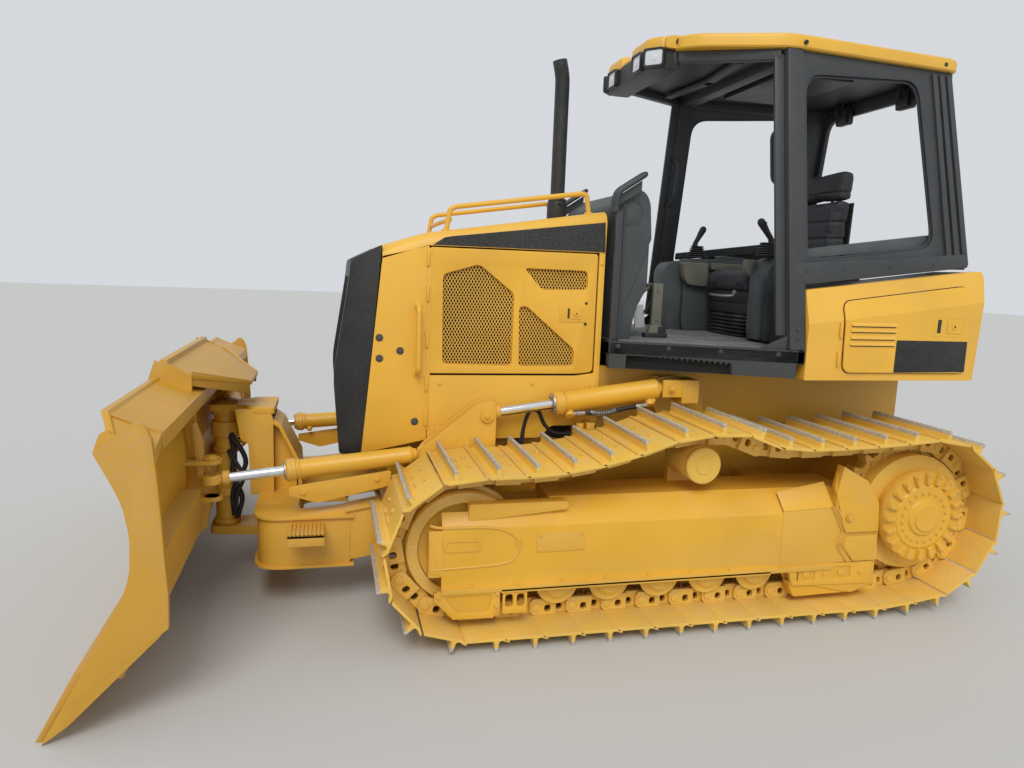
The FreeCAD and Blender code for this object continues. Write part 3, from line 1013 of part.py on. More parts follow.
# Cylinders
def cylinder_parts(name, start, end, barrel, radius, rod_radius, closing, eye_axis):
    """Barrel and rod of a cylinder, with an eye on a flat neck at one end and on the rod at the other."""
    first = FreeCAD.Vector(*start)
    last = FreeCAD.Vector(*end)
    run = last - first
    total = run.Length
    run.normalize()
    across = FreeCAD.Vector(0, 1, 0) if abs(run.x) > abs(run.y) else FreeCAD.Vector(1, 0, 0)
    eye = size("eye_radius")
    half = size("eye_thickness") / 2
    neck = size("eye_neck")
    wall = 0.4
    gland = 34
    floor = 10
    rear_eye = Part.makeCylinder(eye, 2 * half, first - across * half, across)
    rear_neck = Part.makeBox(2 * half, 56, neck + 10)
    rear_neck.translate(FreeCAD.Vector(-half, -28, 0))
    upright = run.cross(across)
    rear_neck = rear_neck.transformGeometry(FreeCAD.Matrix(
        across.x, upright.x, run.x, first.x, across.y, upright.y, run.y, first.y,
        across.z, upright.z, run.z, first.z, 0, 0, 0, 1))
    tube = Part.makeCylinder(radius, barrel - neck, first + run * neck, run)
    head = Part.makeCylinder(radius + 6, gland, first + run * (barrel - gland), run)
    bore = Part.makeCylinder(rod_radius + wall, barrel - neck - floor, first + run * (neck + floor + 1), run)
    pin_hole = Part.makeCylinder(size("pin_radius") + size("pin_clearance"), 2 * half + 12,
                                 first - across * (half + 6), across)
    barrel_shape = rear_eye.fuse([rear_neck, tube, head]).removeSplitter().cut(bore).cut(pin_hole)
    rod_start = neck + floor + closing + 4
    shank = Part.makeCylinder(rod_radius, total - rod_start - eye + 8, first + run * rod_start, run)
    direction = FreeCAD.Vector(*eye_axis)
    front_eye = Part.makeCylinder(eye, 2 * half, last - direction * half, direction)
    rod_shape = shank.fuse(front_eye).removeSplitter()
    return shaped(name + "_barrel_solid", barrel_shape), shaped(name + "_rod_solid", rod_shape)


CYLINDERS = [
    # name, rear pin, rod eye, barrel length, barrel radius, rod radius, closing way, axis of the rod eye
    ("lift", ("lift_rear_x", "cylinder_y", "lift_rear_z"), ("lift_ear_x", "cylinder_y", "lift_ear_z"),
     "lift_barrel", "lift_radius", "lift_rod", "lift_closing", (0, 1, 0)),
    ("angle", ("angle_rear_x", "cylinder_y", "angle_rear_z"), ("angle_eye_x", "angle_eye_y", "angle_eye_z"),
     "angle_barrel", "angle_radius", "angle_rod", "angle_closing", (0, 0, 1)),
    ("tilt", ("tilt_x", "tilt_rear_y", "tilt_rear_z"), ("tilt_x", "tilt_eye_y", "tilt_eye_z"),
     "tilt_barrel", "tilt_radius", "tilt_rod", "tilt_closing", (1, 0, 0)),
]
for name, rear, front, length, radius, rod_radius, closing, eye_axis in CYLINDERS:
    pieces = cylinder_parts(name, [size(alias) for alias in rear], [size(alias) for alias in front],
                            size(length), size(radius), size(rod_radius), size(closing), eye_axis)
    for half_name, piece in zip(("barrel", "rod"), pieces):
        if name == "tilt":
            node("%s_%s" % (name, half_name), piece)
        else:
            both("%s_%s" % (name, half_name), piece)

DOC.removeObject("probe")
DOC.recompute()
os.makedirs("parts", exist_ok=True)
for item in DOC.Objects:
    if "Invalid" in item.State or "Error" in item.State:
        raise RuntimeError("%s did not compute: %s" % (item.Name, item.State))
for sub_part in NODES:
    shape = sub_part.Shape
    if shape.isNull() or not shape.isValid() or not shape.Solids:
        raise RuntimeError("%s is not a valid solid" % sub_part.Label)
for sub_part in NODES:
    Part.makeCompound(sub_part.Shape.Solids).exportStep("parts/%s.step" % sub_part.Label)
    bounds = sub_part.Shape.BoundBox
    print("%-22s solids %2d  x %6.0f %6.0f  y %6.0f %6.0f  z %6.0f %6.0f" % (
        sub_part.Label, len(sub_part.Shape.Solids), bounds.XMin, bounds.XMax, bounds.YMin, bounds.YMax,
        bounds.ZMin, bounds.ZMax))
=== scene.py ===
"""Looks of a small tracked bulldozer, built round its packed frame."""
import json
import math

import bmesh
import bpy
from mathutils import Matrix, Vector

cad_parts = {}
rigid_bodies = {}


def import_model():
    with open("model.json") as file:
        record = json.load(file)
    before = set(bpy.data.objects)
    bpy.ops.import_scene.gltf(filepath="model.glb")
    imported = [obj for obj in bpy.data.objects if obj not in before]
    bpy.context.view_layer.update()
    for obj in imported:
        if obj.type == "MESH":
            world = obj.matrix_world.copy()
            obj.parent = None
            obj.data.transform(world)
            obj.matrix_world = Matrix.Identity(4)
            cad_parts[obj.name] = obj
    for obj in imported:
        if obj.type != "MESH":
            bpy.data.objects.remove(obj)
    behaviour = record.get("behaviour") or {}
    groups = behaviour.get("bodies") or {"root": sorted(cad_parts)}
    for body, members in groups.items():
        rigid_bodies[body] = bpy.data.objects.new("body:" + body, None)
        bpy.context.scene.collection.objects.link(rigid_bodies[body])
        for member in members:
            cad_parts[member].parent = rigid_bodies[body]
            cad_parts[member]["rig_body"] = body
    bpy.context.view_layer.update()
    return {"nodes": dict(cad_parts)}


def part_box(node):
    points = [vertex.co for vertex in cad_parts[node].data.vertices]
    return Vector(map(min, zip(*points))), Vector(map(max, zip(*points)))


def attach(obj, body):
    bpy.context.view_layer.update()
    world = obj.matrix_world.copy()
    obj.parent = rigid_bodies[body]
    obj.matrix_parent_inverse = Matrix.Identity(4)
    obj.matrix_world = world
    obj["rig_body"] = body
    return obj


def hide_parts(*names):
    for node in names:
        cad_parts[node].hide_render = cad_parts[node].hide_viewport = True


bl_info = {
    "name": "Bulldozer",
    "version": (1, 0, 0),
    "blender": (4, 5, 0),
    "location": "View3D > Sidebar > Bulldozer",
    "description": "Builds the tracks, hood, canopy, seat, blade and hoses of a bulldozer round its frame",
    "category": "Add Mesh",
}

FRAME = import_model()
NODES = FRAME["nodes"]
SPROCKET_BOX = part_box("sprockets")
AXIS_X = (SPROCKET_BOX[0].x + SPROCKET_BOX[1].x) / 2
MIDDLE = 800
CORNER_SHARE, SMALLEST_RADIUS = 0.48, 0.01
BEVEL_PROFILE = 0.6
SHARP_ANGLE = math.radians(28)
TO_LEFT = (0, 1, 0)
HOOD_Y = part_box("engine_door_left")[1].y * 1000
FENDER_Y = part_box("fenders")[1].y * 1000


# Shapes, in millimetres from the sprocket axis, the middle and the ground
def place(x, y, z):
    """A point of the machine in the frame's metres."""
    return Vector((AXIS_X + x / 1000, y / 1000, z / 1000))


def rounded(before, corner, after, radius, steps):
    """The points that round one corner; a corner with hardly a radius stays sharp."""
    back, ahead = before - corner, after - corner
    reach = min(radius, back.length * CORNER_SHARE, ahead.length * CORNER_SHARE)
    if reach < SMALLEST_RADIUS:
        return [corner]
    start = corner + back.normalized() * reach
    end = corner + ahead.normalized() * reach
    shares = [step / steps for step in range(steps + 1)]
    return [start * (1 - s) ** 2 + corner * 2 * s * (1 - s) + end * s ** 2 for s in shares]


def fillet(outline, radius, steps=4):
    """A closed outline with its corners rounded; radius is one number or one for each corner."""
    spots = [Vector(point) for point in outline]
    radii = radius if isinstance(radius, (list, tuple)) else [radius] * len(spots)
    points = []
    for index, corner in enumerate(spots):
        after = spots[(index + 1) % len(spots)]
        points += [tuple(p) for p in rounded(spots[index - 1], corner, after, radii[index], steps)]
    return points


def smooth_line(points, bend, steps=5):
    """An open line through space with its corners rounded."""
    spots = [Vector(point) for point in points]
    line = [spots[0]]
    for before, corner, after in zip(spots, spots[1:], spots[2:]):
        line += rounded(before, corner, after, bend, steps)
    return line + [spots[-1]]


def soft_curve(points, steps=8):
    """A smooth line through every given point."""
    ends = [Vector(p) for p in points]
    ends = [ends[0] * 2 - ends[1]] + ends + [ends[-1] * 2 - ends[-2]]
    line = []
    for a, b, c, d in zip(ends, ends[1:], ends[2:], ends[3:]):
        for step in range(steps):
            t = step / steps
            line.append(0.5 * (b * 2 + (c - a) * t + (a * 2 - b * 5 + c * 4 - d) * t * t
                    + (b * 3 - a - c * 3 + d) * t * t * t))
    line.append(ends[-2])
    return line


def circle(centre, side, up, radius, sides, turn=0.0):
    """Points round a centre, in the plane of two directions."""
    turns = [2 * math.pi * index / sides + turn for index in range(sides)]
    return [centre + side * math.cos(t) * radius + up * math.sin(t) * radius for t in turns]


SPACE = {"X": lambda a, b, t: (t, a, b), "Y": lambda a, b, t: (a, t, b), "Z": lambda a, b, t: (a, b, t),}
ROUND = {"X": ((1, 0, 0), (0, 1, 0), (0, 0, 1)), "Y": ((0, 1, 0), (1, 0, 0), (0, 0, 1)),
        "Z": ((0, 0, 1), (1, 0, 0), (0, 1, 0)),}
SCRATCH = bpy.data.meshes.new("scratch")


class Form:
    """Solids gathered into one mesh, in millimetres."""

    def __init__(self, bend=None, folds=()):
        """bend moves every point that comes in; folds are planes that cut a part before it is bent."""
        self.mesh = bmesh.new()
        self.bend = bend
        self.folds = folds

    def add(self, part, edge=0.0):
        """Takes in a part, with its sharp edges rounded."""
        bmesh.ops.recalc_face_normals(part, faces=part.faces)
        if edge:
            sharp = [e for e in part.edges if len(e.link_faces) == 2 and e.calc_face_angle() > SHARP_ANGLE]
            bmesh.ops.bevel(part, geom=sharp, offset=edge, segments=2, profile=BEVEL_PROFILE,
                    affect="EDGES", clamp_overlap=True)
        for spot, normal in self.folds:
            whole = part.verts[:] + part.edges[:] + part.faces[:]
            bmesh.ops.bisect_plane(part, geom=whole, plane_co=spot, plane_no=normal)
        if self.bend:
            for vert in part.verts:
                vert.co = Vector(self.bend(vert.co))
        part.to_mesh(SCRATCH)
        self.mesh.from_mesh(SCRATCH)
        part.free()
        return self

    def prism(self, axis, outline, low, high, edge=0.0):
        """A plate whose outline lies across an axis."""
        part = bmesh.new()
        ends = [[part.verts.new(SPACE[axis](a, b, t)) for a, b in outline] for t in (low, high)]
        part.faces.new(ends[0])
        part.faces.new(list(reversed(ends[1])))
        for index in range(len(outline)):
            part.faces.new((ends[0][index - 1], ends[0][index], ends[1][index], ends[1][index - 1]))
        return self.add(part, edge)

    def box(self, x, y, z, edge=0.0):
        """A block between low and high places."""
        return self.prism("Z", [(x[0], y[0]), (x[1], y[0]), (x[1], y[1]), (x[0], y[1])], z[0], z[1], edge)

    def loft(self, rings, edge=0.0, closed=False):
        """A skin through rings of the same number of points, capped at its ends."""
        part = bmesh.new()
        rows = [[part.verts.new(point) for point in ring] for ring in rings]
        pairs = list(zip(rows, rows[1:])) + ([(rows[-1], rows[0])] if closed else [])
        for first, second in pairs:
            for index in range(len(first)):
                part.faces.new((first[index - 1], first[index], second[index], second[index - 1]))
        if not closed:
            part.faces.new(rows[0])
            part.faces.new(list(reversed(rows[-1])))
        return self.add(part, edge)

    def rod(self, start, end, radius, tip=None, sides=24, edge=0.0, turn=0.0):
        """A round bar, or a cone when its tip has another radius."""
        start, end = Vector(start), Vector(end)
        run = (end - start).normalized()
        side = run.orthogonal().normalized()
        up = run.cross(side)
        ends = ((start, radius), (end, radius if tip is None else tip))
        return self.loft([circle(point, side, up, reach, sides, turn) for point, reach in ends], edge)

    def tube(self, points, radius, sides=12, bend=0.0, closed=False):
        """A bent round tube along a line."""
        line = smooth_line(points, bend) if bend else [Vector(p) for p in points]
        count = len(line)
        normal = None
        rings = []
        for index, point in enumerate(line):
            if closed:
                run = line[(index + 1) % count] - line[index - 1]
            else:
                run = line[min(index + 1, count - 1)] - line[max(index - 1, 0)]
            run.normalize()
            flat = run.orthogonal() if normal is None else normal - run * normal.dot(run)
            normal = flat.normalized()
            rings.append(circle(point, normal, run.cross(normal), radius, sides))
        return self.loft(rings, closed=closed)

    def beam(self, start, end, width, height, edge=0.0):
        """A straight bar with upright sides between two places."""
        start, end = Vector(start), Vector(end)
        run = (end - start).normalized()
        side = run.cross(Vector((0, 0, 1))).normalized() * (width / 2)
        up = side.cross(run).normalized() * (height / 2)
        return self.loft([[p - side - up, p + side - up, p + side + up, p - side + up] for p in (start,
                end)], edge)

    def turned(self, start, end, profile, sides=32, edge=0.0, closed=False):
        """A turned piece along any line: profile holds places along it and radii."""
        start = Vector(start)
        run = (Vector(end) - start).normalized()
        side = run.orthogonal().normalized()
        up = run.cross(side)
        return self.loft([circle(start + run * t, side, up, r, sides) for t, r in profile], edge, closed)

    def lathe(self, centre, axis, profile, sides=48, edge=0.0, closed=False):
        """A turned piece across an axis: profile holds places along the axis and radii."""
        along, side, up = (Vector(way) for way in ROUND[axis])
        centre = Vector(centre)
        return self.loft([circle(centre + along * t, side, up, r, sides) for t, r in profile], edge, closed)

    def ring(self, centre, axis, outer, inner, low, high, sides=48, edge=0.0):
        """A flat ring across an axis."""
        profile = [(low, outer), (high, outer), (high, inner), (low, inner)]
        return self.lathe(centre, axis, profile, sides, edge, True)

    def bolts(self, places, radius=9, height=7, out=TO_LEFT, washer=True):
        """Hexagon heads with washers; out is the way they stand."""
        out = Vector(out).normalized()
        for order, spot in enumerate(places):
            spot = Vector(spot)
            if washer:
                self.rod(spot - out * 1, spot + out * 2, radius * 1.35, sides=16, edge=0.6)
            self.rod(spot, spot + out * height, radius, sides=6, edge=1.2, turn=order * 0.7)
        return self

    def ball(self, centre, radius, stretch=(1, 1, 1), sides=16):
        """A ball or egg."""
        part = bmesh.new()
        bmesh.ops.create_uvsphere(part, u_segments=sides, v_segments=max(6, sides // 2), radius=radius)
        for vert in part.verts:
            vert.co = Vector(centre) + Vector((vert.co.x * stretch[0], vert.co.y * stretch[1],
                    vert.co.z * stretch[2]))
        return self.add(part)

    def plate_with_holes(self, axis, outline, holes, low, high, edge=0.0):
        """A plate with openings of any outline."""
        part = bmesh.new()
        loops = []
        for points in [outline] + holes:
            verts = [part.verts.new(SPACE[axis](a, b, low)) for a, b in points]
            loops += [part.edges.new((verts[i - 1], verts[i])) for i in range(len(verts))]
        filled = bmesh.ops.triangle_fill(part, use_beauty=True, use_dissolve=False, edges=loops)
        faces = [item for item in filled["geom"] if isinstance(item, bmesh.types.BMFace)]
        raised = bmesh.ops.extrude_face_region(part, geom=faces)["geom"]
        shift = Vector(SPACE[axis](0, 0, high - low))
        for vert in [item for item in raised if isinstance(item, bmesh.types.BMVert)]:
            vert.co += shift
        bmesh.ops.recalc_face_normals(part, faces=part.faces)
        bmesh.ops.dissolve_limit(part, angle_limit=math.radians(1), verts=part.verts, edges=part.edges)
        return self.add(part, edge)

    def screen(self, axis, outline, depth, pitch=13, width=3.4, thick=2.0, lean=60):
        """A diamond grid of thin bars inside a convex outline."""
        centre = sum((Vector(p) for p in outline), Vector((0, 0))) / len(outline)
        reach = max((Vector(p) - centre).length for p in outline)
        for order, angle in enumerate((lean, -lean)):
            along = Vector((math.cos(math.radians(angle)), math.sin(math.radians(angle))))
            across = Vector((-along.y, along.x))
            for step in range(-int(reach / pitch), int(reach / pitch) + 1):
                origin = centre + across * (step * pitch)
                span = clip_line(outline, origin, along)
                if span and span[1] - span[0] > 4:
                    a, b = origin + along * span[0], origin + along * span[1]
                    half = across * (width / 2)
                    low = depth + order * thick * 0.4
                    self.prism(axis, [tuple(a - half), tuple(b - half), tuple(b + half), tuple(a + half)],
                            low, low + thick)
        return self

    def both_sides(self):
        """Adds the mirror image on the machine's other side."""
        whole = self.mesh.verts[:] + self.mesh.edges[:] + self.mesh.faces[:]
        copy = bmesh.ops.duplicate(self.mesh, geom=whole)["geom"]
        for item in copy:
            if isinstance(item, bmesh.types.BMVert):
                item.co.y = -item.co.y
        bmesh.ops.reverse_faces(self.mesh, faces=[item for item in copy if isinstance(item,
                bmesh.types.BMFace)])
        return self

    def other_side(self):
        """Moves everything to the machine's other side."""
        for vert in self.mesh.verts:
            vert.co.y = -vert.co.y
        bmesh.ops.reverse_faces(self.mesh, faces=self.mesh.faces)
        return self

    def make(self, name, finish, body="tractor", stands_for=(), smooth=32, mirror=False):
        """Turns the gathered solids into one shown object, on the other side when mirrored."""
        if mirror:
            self.other_side()
        for vert in self.mesh.verts:
            vert.co = place(*vert.co)
        mesh = bpy.data.meshes.new(name)
        self.mesh.to_mesh(mesh)
        self.mesh.free()
        return show(name, mesh, finish, body, stands_for, smooth)


def clip_line(outline, origin, along):
    """How far a line runs inside a convex outline."""
    low, high = -1e9, 1e9
    count = len(outline)
    area = sum(outline[i - 1][0] * outline[i][1] - outline[i][0] * outline[i - 1][1] for i in range(count))
    for index in range(count):
        a, b = Vector(outline[index - 1]), Vector(outline[index])
        side = b - a
        inward = Vector((-side.y, side.x)) * (1 if area > 0 else -1)
        rate = inward.dot(along)
        room = inward.dot(origin - a)
        if abs(rate) < 1e-9:
            if room < 0:
                return None
        elif rate > 0:
            low = max(low, -room / rate)
        else:
            high = min(high, -room / rate)
    return (low, high) if high > low else None


def show(name, mesh, finish, body="tractor", stands_for=(), smooth=32):
    """One object of the machine with its material, body and record slot."""
    mesh.shade_smooth()
    mesh.set_sharp_from_angle(angle=math.radians(smooth))
    item = bpy.data.objects.new(name, mesh)
    bpy.context.scene.collection.objects.link(item)
    mesh.materials.clear()
    mesh.materials.append(material(finish))
    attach(item, body)
    if stands_for:
        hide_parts(*stands_for)
    return item


def soften(node, finish, width=3.0, angle=35, smooth=32):
    """A copy of a frame node with rounded edges, shown in its place."""
    shape = bmesh.new()
    shape.from_mesh(NODES[node].data)
    bmesh.ops.remove_doubles(shape, verts=shape.verts, dist=2e-5)
    bmesh.ops.dissolve_limit(shape, angle_limit=math.radians(0.5), verts=shape.verts, edges=shape.edges)
    sharp = [e for e in shape.edges if len(e.link_faces) == 2 and e.calc_face_angle() > math.radians(angle)]
    bmesh.ops.bevel(shape, geom=sharp, offset=width / 1000, segments=2, profile=0.6, affect="EDGES",
            clamp_overlap=True)
    mesh = bpy.data.meshes.new(node + "_soft")
    shape.to_mesh(mesh)
    shape.free()
    for attribute in list(mesh.attributes):
        if attribute.name == "custom_normal":
            mesh.attributes.remove(attribute)
    return show(node + "_shown", mesh, finish, NODES[node]["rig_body"], (node,), smooth)


# Shader effects: each is one node group that varies over the surface
class Shade:
    """One effect's node group; nodes take numbers, colours or other nodes' sockets."""

    def __init__(self, name, inputs):
        """Every effect has its own inputs and gives a colour, a roughness and a height."""
        self.tree = bpy.data.node_groups.new(name, "ShaderNodeTree")
        face = self.tree.interface
        for label, value in inputs.items():
            kind = "NodeSocketColor" if isinstance(value, tuple) else "NodeSocketFloat"
            face.new_socket(label, in_out="INPUT", socket_type=kind).default_value = value
        for label, kind in (("Colour", "Color"), ("Roughness", "Float"), ("Height", "Float")):
            face.new_socket(label, in_out="OUTPUT", socket_type="NodeSocket" + kind)
        self.given = self.tree.nodes.new("NodeGroupInput").outputs
        self.spot = self.add("TexCoord", {}).outputs["Object"]

    def add(self, kind, values, **settings):
        """One node; values are given by input name or place."""
        node = self.tree.nodes.new("ShaderNode" + kind)
        for key, value in settings.items():
            setattr(node, key, value)
        for key, value in values.items():
            if isinstance(value, bpy.types.NodeSocket):
                self.tree.links.new(value, node.inputs[key])
            else:
                node.inputs[key].default_value = value
        return node

    def math(self, operation, first, second=0.0, clamp=False):
        """The result of one sum on two values or sockets."""
        return self.add("Math", {0: first, 1: second}, operation=operation, use_clamp=clamp).outputs[0]

    def times(self, first, second, clamp=False):
        """A product."""
        return self.math("MULTIPLY", first, second, clamp)

    def plus(self, first, second, clamp=False):
        """A sum."""
        return self.math("ADD", first, second, clamp)

    def spread(self, value, low, high, start=0.0, end=1.0):
        """A value moved from one range to another, held at its ends."""
        return self.add("MapRange", {0: value, 1: low, 2: high, 3: start, 4: end}).outputs[0]

    def mix(self, share, first, second, blend="MIX"):
        """Two colours mixed by a share."""
        return self.add("Mix", {0: share, 6: first, 7: second}, data_type="RGBA",
                blend_type=blend).outputs[2]

    def noise(self, scale, detail, roughness=0.5):
        """A cloudy pattern."""
        values = {"Vector": self.spot, "Scale": scale, "Detail": detail, "Roughness": roughness}
        return self.add("TexNoise", values).outputs[0]

    def waves(self, scale, distortion, direction="X"):
        """Even bands."""
        values = {"Vector": self.spot, "Scale": scale, "Distortion": distortion}
        return self.add("TexWave", values, bands_direction=direction).outputs[1]

    def facing(self):
        """How far the surface looks upwards."""
        return self.add("SeparateXYZ", {0: self.add("NewGeometry", {}).outputs["Normal"]}).outputs[2]

    def toned(self, colour, cloud, dark, light):
        """A colour made darker and lighter by a cloudy pattern."""
        tone = self.spread(cloud, 0.3, 0.7, dark, light)
        grey = self.add("CombineColor", {0: tone, 1: tone, 2: tone}).outputs[0]
        return self.mix(1.0, self.given[colour], grey, "MULTIPLY")

    def finish(self, *results):
        """Gives out colour, roughness and height."""
        outputs = self.tree.nodes.new("NodeGroupOutput").inputs
        for place_in_group, socket in enumerate(results):
            self.tree.links.new(socket, outputs[place_in_group])
        return self.tree


def paint_effect():
    """Machine paint: uneven tone, dust where it can lie, rubbed edges and a fine orange peel."""
    shade = Shade("machine paint", {"Tint": (0.7, 0.4, 0.05, 1), "Dust": (0.5, 0.45, 0.38, 1),
            "Bare": (0.35, 0.33, 0.3, 1), "Dust Amount": 0.3, "Wear": 0.3, "Base Roughness": 0.4})
    given = shade.given
    edge = shade.add("NewGeometry", {}).outputs["Pointiness"]
    broad, cloud = shade.noise(2.3, 4.0), shade.noise(9.0, 9.0, 0.65)
    speck, peel = shade.noise(95.0, 6.0, 0.7), shade.noise(420.0, 2.0)
    lying = shade.spread(shade.facing(), 0.1, 0.9, 0.25, 1.0)
    dusty = shade.times(shade.times(shade.spread(cloud, 0.42, 0.72), lying), given["Dust Amount"], True)
    grit = shade.times(shade.times(shade.spread(speck, 0.60, 0.70), lying), given["Dust Amount"], True)
    rubbed = shade.times(shade.spread(edge, 0.515, 0.57), shade.spread(speck, 0.38, 0.60), True)
    bare = shade.math("MAXIMUM", rubbed, shade.spread(speck, 0.735, 0.75))
    chips = shade.times(bare, given["Wear"], True)
    colour = shade.mix(dusty, shade.toned("Tint", broad, 0.90, 1.06), given["Dust"])
    colour = shade.mix(shade.times(grit, 0.55), colour, given["Dust"])
    colour = shade.mix(chips, colour, given["Bare"])
    rough = shade.plus(given["Base Roughness"], shade.times(shade.plus(dusty, chips), 0.3))
    rough = shade.plus(rough, shade.spread(broad, 0.3, 0.7, -0.04, 0.06), True)
    height = shade.math("SUBTRACT", shade.times(peel, 0.25), shade.times(chips, 0.6))
    return shade.finish(colour, rough, height)


def grain_effect():
    """A moulded or cast grain with a slight change of tone."""
    shade = Shade("moulded grain", {"Tint": (0.05, 0.05, 0.05, 1), "Scale": 300.0, "Base Roughness": 0.6})
    cells = shade.add("TexVoronoi", {"Vector": shade.spot, "Scale": shade.given["Scale"]}).outputs[0]
    cloud = shade.noise(7.0, 8.0)
    dust_there = shade.spread(shade.facing(), 0.3, 1.0, 0.02, 0.22)
    dusty = shade.times(shade.spread(cloud, 0.45, 0.75), dust_there, True)
    colour = shade.mix(dusty, shade.toned("Tint", cloud, 0.85, 1.2), (0.42, 0.38, 0.31, 1))
    rough = shade.plus(shade.given["Base Roughness"], shade.spread(cloud, 0.3, 0.7, -0.06, 0.1), True)
    return shade.finish(colour, rough, cells)


def weave_effect():
    """Coated seat cloth: a fine crossed weave with rubbed patches."""
    shade = Shade("seat weave", {"Tint": (0.03, 0.03, 0.035, 1), "Scale": 260.0})
    first, second = (shade.waves(shade.given["Scale"], 0.4, way) for way in ("X", "DIAGONAL"))
    cloud = shade.noise(11.0, 7.0)
    rough = shade.spread(cloud, 0.3, 0.7, 0.55, 0.75)
    return shade.finish(shade.toned("Tint", cloud, 0.8, 1.5), rough, shade.times(first, second))


def metal_effect():
    """Ground or worn metal: fine rings, smears and a few dull spots."""
    shade = Shade("worked metal", {"Tint": (0.6, 0.6, 0.6, 1), "Dull": (0.25, 0.23, 0.2, 1), "Stain": 0.3,
            "Base Roughness": 0.2})
    given = shade.given
    stained = shade.times(shade.spread(shade.noise(23.0, 9.0, 0.7), 0.48, 0.62), given["Stain"], True)
    rough = shade.plus(given["Base Roughness"], shade.times(stained, 0.5), True)
    height = shade.plus(shade.times(shade.waves(190.0, 3.0), 0.2), stained)
    return shade.finish(shade.mix(stained, given["Tint"], given["Dull"]), rough, height)


EFFECTS = {}
EFFECT_MAKERS = {"paint": paint_effect, "grain": grain_effect, "weave": weave_effect, "metal": metal_effect}


def paint(dust, wear, roughness):
    """Inputs of a painted finish."""
    return "paint", {"Dust Amount": dust, "Wear": wear, "Base Roughness": roughness}


def grain(scale, roughness):
    """Inputs of a moulded or cast finish."""
    return "grain", {"Scale": scale, "Base Roughness": roughness}


def metal(stain, roughness):
    """Inputs of a bare metal finish."""
    return "metal", {"Stain": stain, "Base Roughness": roughness}


# Finishes: slot, fixed colour or name of the user's choice, effect, metallic, coat and bump strength
FINISHES = {
    "yellow": ("yellow", "machine", paint(0.08, 0.12, 0.42), 0.0, 0.08, 0.1),
    # The blade's yellow is the machine paint made darker: painted shade over the whole blade.
    "blade_yellow_shaded": ("yellow", "blade", paint(0.05, 0.25, 0.45), 0.0, 0.06, 0.14),
    "frame_yellow": ("yellow", "frames", paint(0.12, 0.2, 0.44), 0.0, 0.08, 0.16),
    "track_yellow": ("track_yellow", "tracks", paint(0.26, 0.3, 0.48), 0.0, 0.0, 0.3),
    "rubbed_rib": ("track_yellow", (0.66, 0.58, 0.42), paint(0.9, 1.0, 0.5), 0.0, 0.0, 0.5),
    "charcoal": ("charcoal", "canopy", paint(0.05, 0.03, 0.5), 0.0, 0.04, 0.12),
    "black": ("charcoal", (0.007, 0.008, 0.009), paint(0.1, 0.1, 0.45), 0.0, 0.0, 0.1),
    # Near-black painted shade: the sheets behind the engine door screens and in the service doors' gaps.
    "painted_shade_black": ("charcoal", (0.012, 0.010, 0.008), paint(0.5, 0.0, 0.9), 0.0, 0.0, 0.2),
    "interior_grey": ("interior_grey", "interior", grain(420.0, 0.55), 0.0, 0.0, 0.12),
    "floor_grey": ("interior_grey", (0.16, 0.165, 0.17), grain(120.0, 0.75), 0.0, 0.0, 0.3),
    "rubber": ("interior_grey", (0.022, 0.022, 0.024), grain(520.0, 0.62), 0.0, 0.0, 0.1),
    "seat_fabric": ("seat_fabric", "seat", ("weave", {}), 0.0, 0.0, 0.25),
    "steel": ("steel", (0.5, 0.49, 0.46), metal(0.6, 0.38), 0.85, 0.0, 0.1),
    "chrome_rod": ("chrome_rod", (0.82, 0.83, 0.85), metal(0.15, 0.12), 1.0, 0.0, 0.03),
    "console_liner": ("interior_grey", (0.15, 0.15, 0.115), grain(380.0, 0.6), 0.0, 0.0, 0.1),
    "iron": ("iron", (0.09, 0.08, 0.07), grain(200.0, 0.7), 0.2, 0.0, 0.3),
    "blank_plate": ("steel", (0.62, 0.62, 0.6), paint(0.1, 0.05, 0.5), 0.0, 0.0, 0.05),
    "lamp": ("lamp", (0.8, 0.82, 0.85), metal(0.05, 0.08), 0.4, 0.6, 0.02),
}
COAT_ROUGHNESS, BUMP_HEIGHT = 0.25, 0.002


def set_inputs(node, values):
    """Sets a node's inputs by their names."""
    for label, value in values.items():
        node.inputs[label].default_value = value


def material(finish):
    """The material of a finish, built once."""
    known = bpy.data.materials.get(finish + "_shown")
    if known:
        return known
    colour, (kind, inputs), metallic, coat, bump = FINISHES[finish][1:]
    if isinstance(colour, str):
        colour = getattr(bpy.context.scene.dozer_colours, colour)
    if kind not in EFFECTS:
        EFFECTS[kind] = EFFECT_MAKERS[kind]()
    made = bpy.data.materials.new(finish + "_shown")
    made.use_nodes = True
    tree = made.node_tree
    shader = tree.nodes["Principled BSDF"]
    set_inputs(shader, {"Metallic": metallic, "Coat Weight": coat, "Coat Roughness": COAT_ROUGHNESS})
    group = tree.nodes.new("ShaderNodeGroup")
    group.node_tree = EFFECTS[kind]
    set_inputs(group, {"Tint": (*colour, 1), **inputs})
    relief = tree.nodes.new("ShaderNodeBump")
    set_inputs(relief, {"Strength": bump, "Distance": BUMP_HEIGHT})
    for source, output, target, label in ((group, "Colour", shader, "Base Color"),
            (group, "Roughness", shader, "Roughness"), (group, "Height", relief, "Height"),
            (relief, "Normal", shader, "Normal")):
        tree.links.new(source.outputs[output], target.inputs[label])
    return made


# Stage
CAMERA_PLACE = (2749.4, 3843.4, 1551.5)
CAMERA_YAW, CAMERA_PITCH, CAMERA_ROLL = 13.925, 8.613, -2.144
CAMERA_FOCUS, PHOTO_WIDTH, SENSOR_WIDTH = 746.81, 1024, 36
FAR_CLIP, FLOOR_REACH = 200, 40
SUN_STRENGTH, SUN_SPREAD, SKY_STRENGTH = 1.5, 28, 0.72


